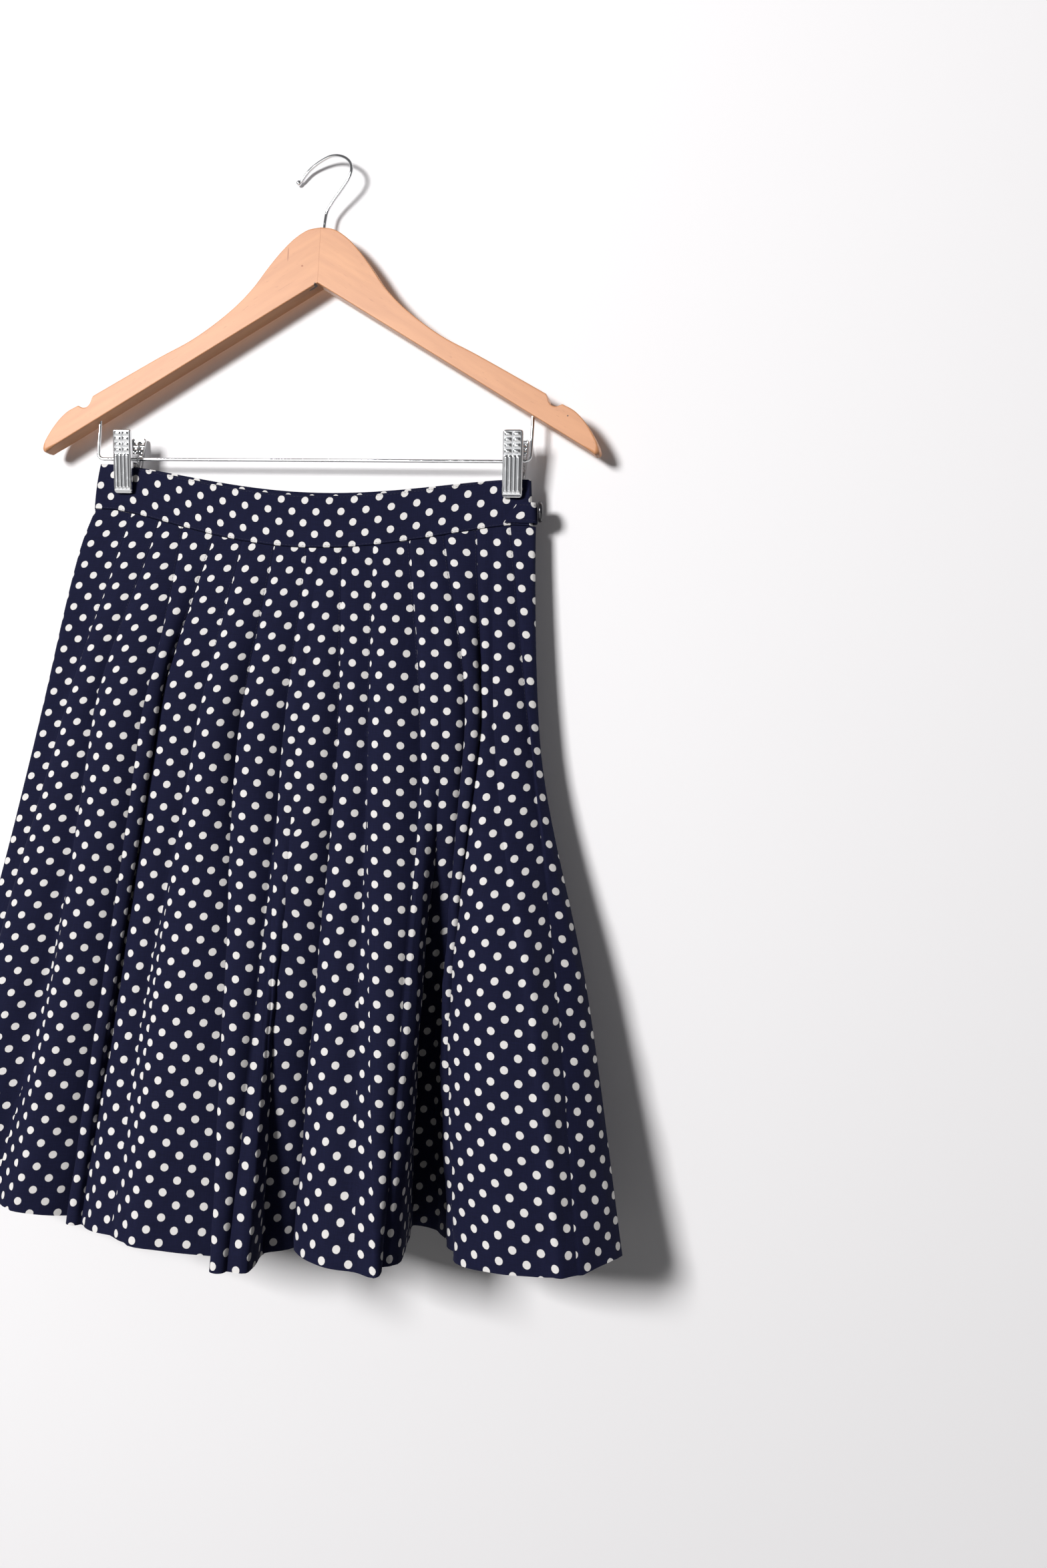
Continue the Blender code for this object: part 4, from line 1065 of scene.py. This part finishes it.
class SKIRT_OT_closure(bpy.types.Operator):
    """Build the button tab at the right end of the waistband and its button"""

    bl_idname = "skirt.closure"
    bl_label = "Tab and button"

    def execute(self, context):
        self.tab()
        self.button()
        return {"FINISHED"}

    def tab(self):
        """A strip of cloth carried round the band's right end: straight at the front,
        a half circle round the end, and straight at the back."""
        inside = BAND_CLOTH + 2.0 * SEAM_GAP
        share = np.linspace(0.0, 1.0, 16)[:, None]
        z = TAB_BOTTOM + (TAB_TOP - TAB_BOTTOM) * share
        end_x = band_right_end(z)
        front_x = TAB_FRONT_X[0] + (TAB_FRONT_X[1] - TAB_FRONT_X[0]) * share
        bend = np.linspace(-math.pi / 2.0, math.pi / 2.0, 20)[None]
        run = np.linspace(0.0, 1.0, 10)[None, :-1]
        lip = 0.25 * (1.0 - np.sqrt(1.0 - (2.0 * share - 1.0) ** 8))
        sides = []
        for radius in (inside + TAB_CLOTH, inside):
            out = radius - lip * (radius > inside)
            x = np.concatenate([front_x + (end_x - front_x) * run, end_x + out * np.cos(bend),
                                end_x + (TAB_BACK_X - end_x) * run[:, 1:]], axis=1)
            y = np.concatenate([-out + 0.0 * run, out * np.sin(bend),
                                out + 0.0 * run[:, 1:]], axis=1)
            sides.append(np.stack([x, y, z + 0.0 * x], axis=-1))
        points, faces, uv = close_sheet(*sides, across_sheet(sides[0]) + np.array((2.0, 3.0)))
        tab = add_piece("waist_tab_cloth", points, faces, cloth_material(), "cloth", uv)
        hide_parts("waist_tab")
        rows = (2, -3)
        past_end = np.maximum(sides[0][..., 0] - end_x, 0.0)
        outward = np.stack([past_end, sides[0][..., 1], 0.0 * past_end], axis=-1)
        runs = [stitches(sides[0][row][2:], outward[row][2:]) for row in rows]
        sewing = add_stitches("waist_tab_stitching", runs, tab)

    def button(self):
        """A turned disc: its section runs from the back, round the rim and into a
        shallow dish, and a cross of thread lies over the places of its four eyes, which are not
        cut."""
        section = np.array([(0.0, -1.0), (0.86, -1.0), (0.97, -0.6), (1.0, 0.0), (0.97, 0.6),
                            (0.90, 0.95), (0.80, 1.0), (0.70, 0.75), (0.55, 0.35), (0.0, 0.30)])
        section = flow_through(section[None], 3)[0]
        angle = np.linspace(0.0, 2.0 * math.pi, 49)
        radius = section[:, 0, None] * BUTTON_RADIUS
        disc = np.stack([radius * np.cos(angle), radius * np.sin(angle),
                         section[:, 1, None] * BUTTON_THICK / 2.0 + 0.0 * angle], axis=-1)
        end_x = float(band_right_end(BUTTON_Z))
        tilt = math.atan(end_x - float(band_right_end(BUTTON_Z + 1.0)))
        turn = Matrix.Rotation(BUTTON_TURN, 3, "Z") @ Matrix.Rotation(math.pi / 2.0 - tilt, 3, "Y")
        turn = np.array(turn)
        reach = BAND_CLOTH + 2.0 * SEAM_GAP + TAB_CLOTH + SEAM_GAP + BUTTON_THICK / 2.0
        centre = np.array((end_x, 0.0, BUTTON_Z)) + reach * turn[:, 2]
        button = add_skin("waist_button_disc", disc @ turn.T + centre,
                          material_named("dark polyester", dark_polyester), "button")
        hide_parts("waist_button")
        top = 0.31 * BUTTON_THICK / 2.0
        ring = BUTTON_EYE_RING / math.sqrt(2.0)
        runs = []
        for sign in (-1.0, 1.0):
            for lift in (0.0, 0.25):
                line = np.linspace(-1.0, 1.0, 9)[:, None]
                path = line * (ring + 0.3, sign * (ring + 0.3), 0.0)
                path[:, 2] = top + lift + 0.35 * (1.0 - line[:, 0] ** 2)
                path[:, 1] += 0.3 * lift
                runs.append(path @ turn.T + centre)
        for number, path in enumerate(runs):
            thread = add_wire(f"button_thread_{number}", path, turn[:, 2], BUTTON_THREAD, 8,
                              thread_material(), "cloth")
            thread.parent = button


def arm_outline():
    """Upper outline of the right arm from the hump to the tip, and its lower outline."""
    shoulder = flow_through(np.array([ARM_SHOULDER]), 8)[0]
    tip = flow_through(np.array([ARM_NOTCH[-1:] + ARM_TIP]), 8)[0]
    notch = flow_through(np.array([ARM_SHOULDER[-1:] + ARM_NOTCH]), 6)[0]
    upper = np.concatenate([shoulder[:-1], notch[:-1], tip])
    turn = int(np.argmax(upper[:, 0]))
    heel = np.array([(ARM_HEEL_X, CROTCH_Z - ARM_SLOPE * ARM_HEEL_X)])
    crotch = np.array([(ARM_START, CROTCH_Z - ARM_SLOPE * ARM_START)])
    lower = np.concatenate([crotch, heel, upper[turn:][::-1]])
    return upper[:turn + 1], lower


def arm_points(side):
    """The arm's skin: at each station along X a rounded rectangle between the lower and
    the upper outline, as thick as the wood, whose corners have the edge's radius. That
    radius grows over the last stretch to the tip, and each corner has one more point on
    the flat at either side, which keeps the faces flat. Stations crowd towards the tip,
    where the section shrinks to nothing."""
    upper, lower = arm_outline()
    reach = upper[-1, 0]
    even = np.linspace(0.0, 1.0, ARM_STATIONS)
    x = ARM_START + (reach - ARM_START) * (1.0 - (1.0 - even) ** ARM_CROWDING)
    high = np.interp(x, upper[:, 0], upper[:, 1])
    low = np.interp(x, lower[:, 0], lower[:, 1])
    middle = ((high + low) / 2.0)[:, None]
    half_height = (np.maximum(high - low, 0.0) / 2.0)[:, None]
    to_tip = (reach - x)[:, None]
    round_edge = ARM_EDGE + (TIP_EDGE - ARM_EDGE) * (1.0 - step_between(0.0, TIP_REACH, to_tip))
    close = np.sqrt(1.0 - (1.0 - np.clip(to_tip / TIP_EDGE, 0.0, 1.0)) ** 2)
    half_thick = ARM_THICK / 2.0 - round_edge * (1.0 - close)
    edge = np.minimum(round_edge, half_height)
    inset = np.minimum(ARM_INSET, ARM_INSET / 2.0 * (half_height - edge))
    bend = np.linspace(0.0, math.pi / 2.0, 6)
    corners = []
    for across, up, start in ((1, 1, 0.0), (-1, 1, 0.5), (-1, -1, 1.0), (1, -1, 1.5)):
        angle = bend + start * math.pi
        flat = np.zeros(8)
        flat[[0, -1]] = -1.0, 1.0
        angle = np.concatenate([angle[:1], angle, angle[-1:]])
        corners.append((across * (half_thick - edge) + edge * np.cos(angle)
                        - inset * flat * np.sin(angle),
                        up * (half_height - edge) + edge * np.sin(angle)
                        + inset * flat * np.cos(angle)))
    y = np.concatenate([part[0] for part in corners], axis=1)
    z = middle + np.concatenate([part[1] for part in corners], axis=1)
    grid = np.stack([side * x[:, None] + 0.0 * y, y, z], axis=-1)
    grid = np.concatenate([grid, grid[:, :1]], axis=1)
    mitre = grid[:1] * (1.0, 0.0, 0.0) + grid[:1].mean(axis=1, keepdims=True) * (0.0, 1.0, 1.0)
    tip = 0.0 * grid[-1:] + grid[-1:].mean(axis=1, keepdims=True)
    return np.concatenate([mitre, grid, tip])


class SKIRT_OT_arms(bpy.types.Operator):
    """Build the hanger's two wooden arms"""

    bl_idname = "skirt.arms"
    bl_label = "Hanger arms"

    def execute(self, context):
        for label, side in (("left", -1), ("right", 1)):
            slope = side * math.atan(ARM_SLOPE)
            material = material_named(f"varnished beech {label}",
                                      lambda name, tilt=slope: varnished_beech(name, -tilt))
            points = arm_points(side)
            arm = add_skin(f"hanger_arm_{label}_wood", points, material, "beech", sharp=35.0)
            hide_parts(f"hanger_arm_{label}")
        return {"FINISHED"}


class SKIRT_OT_wires(bpy.types.Operator):
    """Build the hanger's hook and its clip bar"""

    bl_idname = "skirt.wires"
    bl_label = "Hook and clip bar"

    def execute(self, context):
        self.hook()
        self.bar()
        return {"FINISHED"}

    def hook(self):
        """Wire along a smooth curve in the hook's own plane, with a ball at the tip whose
        radius follows a circle."""
        path = flow_through(np.array([HOOK_PATH]), 14)[0]
        arc = path_lengths(path)
        across, back = math.cos(HOOK_TWIST), -math.sin(HOOK_TWIST)
        points = np.stack([path[:, 0] * across, path[:, 0] * back, path[:, 1]], axis=-1)
        plane = (-back, across, 0.0)
        wire = add_wire("hanger_hook_wire", points, plane, HOOK_WIRE, WIRE_SIDES,
                        chrome_material(), "chrome")
        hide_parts("hanger_hook")
        turn = np.linspace(0.0, math.pi, 17)
        centre = read_at(arc[-1] - HOOK_BALL, arc, points)
        line = centre + np.outer(-np.cos(turn) * HOOK_BALL, (1.0, 0.0, 0.0))
        skin = tube_points(line, (0.0, 1.0, 0.0), np.sin(turn) * HOOK_BALL, BALL_SIDES)
        knob = add_skin("hanger_hook_ball", skin, chrome_material(), "chrome")
        knob.parent = wire

    def bar(self):
        """Straight wire with a quarter circle at each corner and a leg into each arm."""
        angle = np.linspace(0.0, math.pi / 2.0, 12)
        corner_x = BAR_HALF - BAR_CORNER * (1.0 - np.cos(angle))
        corner_z = BAR_Z + BAR_CORNER * (1.0 - np.sin(angle))
        leg = np.linspace(BAR_TOP_Z, BAR_Z + BAR_CORNER, 10, endpoint=False)
        right = np.stack([np.concatenate([np.full(10, BAR_HALF), corner_x]),
                          np.concatenate([leg, corner_z])], axis=-1)
        flat = np.linspace(BAR_HALF - BAR_CORNER, -BAR_HALF + BAR_CORNER, 60)[1:-1]
        middle = np.stack([flat, np.full(len(flat), BAR_Z)], axis=-1)
        outline = np.concatenate([right, middle, right[::-1] * (-1.0, 1.0)])
        points = np.stack([BAR_CENTRE + outline[:, 0], 0.0 * outline[:, 0], outline[:, 1]],
                          axis=-1)
        wire = add_wire("hanger_bar_wire", points, (0.0, 1.0, 0.0), BAR_WIRE, WIRE_SIDES,
                        chrome_material(), "chrome")
        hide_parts("hanger_bar")


def jaw_seat():
    """Distance from a jaw's face to the bar, with its lower end on the cloth."""
    cloth = BAND_CLOTH + 2.0 * SEAM_GAP
    reach = (cloth + JAW_BELOW * math.sin(JAW_LEAN)) / math.cos(JAW_LEAN)
    return JAW_DEPTH + reach


def jaw_to_row(points, clip_x, facing):
    """Points of a jaw (across, in from the face, up) leant out at the top and placed on
    the bar; facing is -1 for the jaw in front and 1 for the one behind."""
    away = jaw_seat() - points[..., 1]
    up = points[..., 2]
    out = away * math.cos(JAW_LEAN) + up * math.sin(JAW_LEAN)
    z = up * math.cos(JAW_LEAN) - away * math.sin(JAW_LEAN)
    return np.stack([clip_x + points[..., 0], facing * out, BAR_Z + z], axis=-1)


def jaw_plate(width):
    """Pressed sheet: a shallow channel whose flanges are deepest beside the bar. Its face
    has four upright ribs below and rows of two short ribs above, each a rounded ridge,
    its lower end turns in to a gripping edge, and the plate's own corners are round."""
    up = np.linspace(-JAW_BELOW, JAW_ABOVE, 150)[:, None]
    half = width / 2.0
    depth = FLANGE_END + (JAW_DEPTH - FLANGE_END) * np.exp(-((up + 2.0) / FLANGE_SPREAD) ** 2)
    turn = np.linspace(0.0, math.pi / 2.0, 7)[None]
    wing = np.linspace(1.0, 0.0, 6)[None, :-1]
    face = np.linspace(-1.0, 1.0, 58)[None, 1:-1]
    side_y = JAW_CORNER + (depth - JAW_CORNER) * wing
    round_x = half - JAW_CORNER + JAW_CORNER * np.cos(turn) + 0.0 * up
    round_y = JAW_CORNER * (1.0 - np.sin(turn)) + 0.0 * up
    x = np.concatenate([-half + 0.0 * side_y, -round_x, (half - JAW_CORNER) * face + 0.0 * up,
                        round_x[:, ::-1], half + 0.0 * side_y], axis=1)
    y = np.concatenate([side_y, round_y, 0.0 * face + 0.0 * up, round_y[:, ::-1],
                        side_y[:, ::-1]], axis=1)
    pitch = (width - 2.2 * JAW_CORNER) / 4.0
    upright = np.clip(RIB_FLAT * np.cos(math.pi * (x / pitch - 0.5)) ** 2, 0.0, 1.0)
    upright *= (np.abs(x) < 2.0 * pitch)
    lower = step_between(-JAW_BELOW + 3.0, -JAW_BELOW + 5.0, up)
    lower *= 1.0 - step_between(2.2, 3.6, up)
    row = (up - RIB_ROWS[0]) / RIB_ROWS[1]
    near = np.abs(row - np.round(row)) * RIB_ROWS[1]
    short = np.clip(1.0 - (near / 1.25) ** 4, 0.0, 1.0) * ((row > -0.5) & (row < 3.5))
    long = np.clip(1.0 - ((np.abs(x) - width * 0.22) / (width * 0.17)) ** 4, 0.0, 1.0)
    y = y - RIB_HEIGHT * (upright * lower + short * long)
    lip = 1.0 - step_between(-JAW_BELOW, -JAW_BELOW + LIP_HEIGHT, up)
    y = y + LIP_TURN * lip * np.clip(1.0 - y / depth, 0.0, 1.0)
    crown = step_between(JAW_ABOVE - CROWN_HEIGHT, JAW_ABOVE, up)
    y = y + CROWN_TURN * crown**2 * np.clip(1.0 - y / depth, 0.0, 1.0)
    middle, reach = (JAW_ABOVE - JAW_BELOW) / 2.0, (JAW_ABOVE + JAW_BELOW) / 2.0
    past = np.clip((np.abs(up - middle) - reach) / PLATE_CORNER + 1.0, 0.0, 1.0)
    x = x * (1.0 - (1.0 - np.sqrt(1.0 - past**2)) * PLATE_CORNER / half)
    return np.stack([x, y, up + 0.0 * x], axis=-1)


def jaw_ear(width, side):
    """Ear of a jaw's flange: a flat ring round the bar whose outline runs out as a tongue
    to the flange. It is worked out in polar form about the bar."""
    length = jaw_seat() - JAW_DEPTH + EAR_OVERLAP
    angle = np.linspace(0.0, 2.0 * math.pi, 73)
    along = np.cos(angle)
    ahead = length / np.maximum(along, 0.05)
    aside = EAR_FOOT / np.maximum(np.abs(np.sin(angle)), 1e-3)
    tongue = np.where(along > 0.05, np.minimum(ahead, aside), 0.0)
    rim = np.maximum(EAR_RADIUS, tongue)
    inside = BAR_WIRE + SEAM_GAP
    share = np.linspace(0.0, 1.0, 5)[:, None]
    radius = inside + (rim - inside) * share
    away = radius * along
    up = radius * np.sin(angle)
    at = side * (width / 2.0 - 0.05)
    return np.stack([at + 0.0 * away, jaw_seat() - away, up], axis=-1)


class SKIRT_OT_clips(bpy.types.Operator):
    """Build the two clips: jaws, ears and springs"""

    bl_idname = "skirt.clips"
    bl_label = "Clips"

    def execute(self, context):
        for label, clip_x in zip(("left", "right"), CLIP_X):
            for place, width, facing in (("front", JAW_WIDTHS[0], -1), ("rear", JAW_WIDTHS[1], 1)):
                self.jaw(f"clip_{label}_{place}_jaw", clip_x, width, facing)
            self.spring(f"clip_{label}_spring", clip_x)
        return {"FINISHED"}

    def jaw(self, name, clip_x, width, facing):
        grid = jaw_to_row(jaw_plate(width), clip_x, facing)
        plate = add_skin(f"{name}_plate", grid, chrome_material(), "chrome", closed=False,
                         outward=(0.0, float(facing), 0.0), sharp=50.0)
        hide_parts(name)
        self.thicken(plate)
        for side in (-1, 1):
            ring = jaw_to_row(jaw_ear(width, side), clip_x, facing)
            word = "left" if side < 0 else "right"
            ear = add_skin(f"{name}_{word}_ear", ring, chrome_material(), "chrome",
                           closed=False, outward=(float(side), 0.0, 0.0))
            self.thicken(ear)
            ear.parent = plate

    def thicken(self, sheet):
        wall = sheet.modifiers.new("Sheet", "SOLIDIFY")
        wall.thickness = JAW_SHEET * MM
        wall.offset = -1.0
        wall.use_even_offset = True

    def spring(self, name, clip_x):
        """Wire wound round the bar, as a helix with close turns."""
        turn = np.linspace(0.0, SPRING_TURNS * 2.0 * math.pi, 24 * SPRING_TURNS + 1)
        radial = np.stack([0.0 * turn, np.cos(turn), np.sin(turn)], axis=-1)
        along = clip_x + SPRING_WIDTH * (turn / turn[-1] - 0.5)
        path = radial * SPRING_RADIUS + np.stack([along, 0.0 * turn, BAR_Z + 0.0 * turn], axis=-1)
        coil = add_wire(f"{name}_coil", path, radial, SPRING_WIRE, SPRING_SIDES,
                        chrome_material(), "chrome")
        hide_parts(name)


def plain_surface(name, code, roughness, seen_from_front_only=False):
    """Matt paint. A wall painted with it shows from its front and is clear from behind."""
    material, tree, shader = new_material(name, roughness)
    shader.inputs["Base Color"].default_value = (*linear(code), 1.0)
    if seen_from_front_only:
        behind = add_node(tree, "ShaderNodeNewGeometry").outputs["Backfacing"]
        clear = add_node(tree, "ShaderNodeBsdfTransparent").outputs[0]
        both = add_node(tree, "ShaderNodeMixShader", {0: behind, 1: shader.outputs[0], 2: clear})
        tree.links.new(both.outputs[0], tree.nodes["Material Output"].inputs["Surface"])
    return material


def add_stage_plane(name, corners, material):
    mesh = bpy.data.meshes.new(name)
    mesh.from_pydata((np.array(corners) * MM).tolist(), [], [(0, 1, 2, 3)])
    mesh.materials.append(material)
    plane = add_object(name, mesh)
    return plane


def stand(place, right, up, ahead):
    """Matrix of a lamp or camera at place that looks ahead."""
    matrix = Matrix(np.stack([right, up, -ahead], axis=1).tolist()).to_4x4()
    matrix.translation = np.multiply(place, MM)
    return matrix


def aim(place, target):
    """Matrix of a lamp at place that shines at target."""
    ahead = np.subtract(target, place)
    ahead = ahead / np.linalg.norm(ahead)
    right = np.cross(ahead, (0.0, 0.0, 1.0))
    right /= np.linalg.norm(right)
    return stand(place, right, np.cross(right, ahead), ahead)


def add_lamp(name, place, target, size, power):
    lamp = bpy.data.lights.new(name, "AREA")
    lamp.shape = "SQUARE"
    lamp.size = size * MM
    lamp.energy = power
    add_object(name, lamp).matrix_world = aim(place, target)


class SKIRT_OT_stage(bpy.types.Operator):
    """Build the floor, the wall behind, the lights and the camera"""

    bl_idname = "skirt.stage"
    bl_label = "Stage"

    def execute(self, context):
        settings = context.scene.skirt_stage
        low = WALL_TOP_Y - WALL_LEAN * FLOOR_Z
        high = WALL_TOP_Y - WALL_LEAN * WALL_REACH / 2.0
        wall = add_stage_plane(
            "wall", [(-WALL_REACH, high, WALL_REACH / 2.0), (-WALL_REACH, low, FLOOR_Z),
                     (WALL_REACH, low, FLOOR_Z), (WALL_REACH, high, WALL_REACH / 2.0)],
            plain_surface("white wall paint", "#F5F3F4", 0.9, seen_from_front_only=True))
        wall.visible_shadow = False
        wall.visible_diffuse = False
        floor = add_stage_plane(
            "floor", [(-WALL_REACH, -WALL_REACH, FLOOR_Z), (WALL_REACH, -WALL_REACH, FLOOR_Z),
                      (WALL_REACH, WALL_REACH, FLOOR_Z), (-WALL_REACH, WALL_REACH, FLOOR_Z)],
            plain_surface("pale floor", "#E9E8E6", 0.8))
        floor.visible_diffuse = False
        for name, place, size, setting in LAMPS:
            add_lamp(name, place, LAMP_TARGET, size, getattr(settings, setting))
        bpy.data.objects["screen"].visible_diffuse = False
        self.world(settings)
        self.camera(settings)
        context.scene.view_settings.view_transform = "Standard"
        return {"FINISHED"}

    def world(self, settings):
        """Even pale light all round, a little brighter from the pale floor below."""
        world = bpy.data.worlds.new("white room")
        world.use_nodes = True
        tree = world.node_tree
        ground = tree.nodes["Background"]
        direction = add_node(tree, "ShaderNodeTexCoord").outputs["Generated"]
        height = add_node(tree, "ShaderNodeSeparateXYZ", {0: direction}).outputs["Z"]
        share = add_node(tree, "ShaderNodeMapRange", {"Value": height},
                         {"From Min": HORIZON[0], "From Max": HORIZON[1]}).outputs["Result"]
        colour = add_node(tree, "ShaderNodeMix", {0: share, 6: linear(BELOW), 7: linear(ABOVE)},
                          data_type="RGBA")
        tree.links.new(colour.outputs[2], ground.inputs["Color"])
        path = add_node(tree, "ShaderNodeLightPath").outputs
        glossy = add_node(tree, "ShaderNodeMapRange", {"Value": path["Is Glossy Ray"]},
                          {"To Min": settings.fill, "To Max": GLOSSY_FILL}).outputs["Result"]
        strength = add_node(tree, "ShaderNodeMapRange",
                            {"Value": path["Is Camera Ray"], "To Min": glossy},
                            {"To Max": SEEN_FILL}).outputs["Result"]
        tree.links.new(strength, ground.inputs["Strength"])
        bpy.context.scene.world = world

    def camera(self, settings):
        """Camera at the measured place, turned by its yaw, pitch and roll."""
        yaw, pitch, roll = CAMERA_YAW, CAMERA_PITCH, CAMERA_ROLL
        ahead = np.array((math.sin(yaw) * math.cos(pitch), math.cos(yaw) * math.cos(pitch),
                          math.sin(pitch)))
        level = np.array((math.cos(yaw), -math.sin(yaw), 0.0))
        above = np.cross(level, ahead)
        right = math.cos(roll) * level + math.sin(roll) * above
        up = -math.sin(roll) * level + math.cos(roll) * above
        lens = bpy.data.cameras.new("camera")
        lens.lens = settings.lens
        lens.sensor_width = 36.0
        lens.clip_start = 0.01
        lens.clip_end = 60.0
        camera = add_object("camera", lens)
        camera.matrix_world = stand(CAMERA_PLACE, right, up, ahead)
        bpy.context.scene.camera = camera


class SKIRT_PT_panel(bpy.types.Panel):
    """Settings and build steps of the skirt"""

    bl_label = "Pleated skirt"
    bl_idname = "SKIRT_PT_panel"
    bl_space_type = "VIEW_3D"
    bl_region_type = "UI"
    bl_category = "Skirt"

    def draw(self, context):
        for name, group in SETTINGS.items():
            for setting in group.__annotations__:
                self.layout.prop(getattr(context.scene, name), setting)
        for step in STEPS:
            self.layout.operator(step.bl_idname)


STEPS = (SKIRT_OT_clips, SKIRT_OT_waistband, SKIRT_OT_panels, SKIRT_OT_closure, SKIRT_OT_arms,
         SKIRT_OT_wires, SKIRT_OT_stage)
SETTINGS = {"skirt_cloth": ClothSettings, "skirt_hanger": HangerSettings,
            "skirt_stage": StageSettings}
CLASSES = (*SETTINGS.values(), *STEPS, SKIRT_PT_panel)


def register():
    for item in CLASSES:
        bpy.utils.register_class(item)
    for name, group in SETTINGS.items():
        setattr(bpy.types.Scene, name, PointerProperty(type=group))


def unregister():
    for name in SETTINGS:
        delattr(bpy.types.Scene, name)
    for item in reversed(CLASSES):
        bpy.utils.unregister_class(item)


def main():
    register()
    bpy.ops.skirt.clips()
    bpy.ops.skirt.waistband()
    bpy.ops.skirt.panels()
    bpy.ops.skirt.closure()
    bpy.ops.skirt.arms()
    bpy.ops.skirt.wires()
    bpy.ops.skirt.stage()


if __name__ == "__main__":
    main()
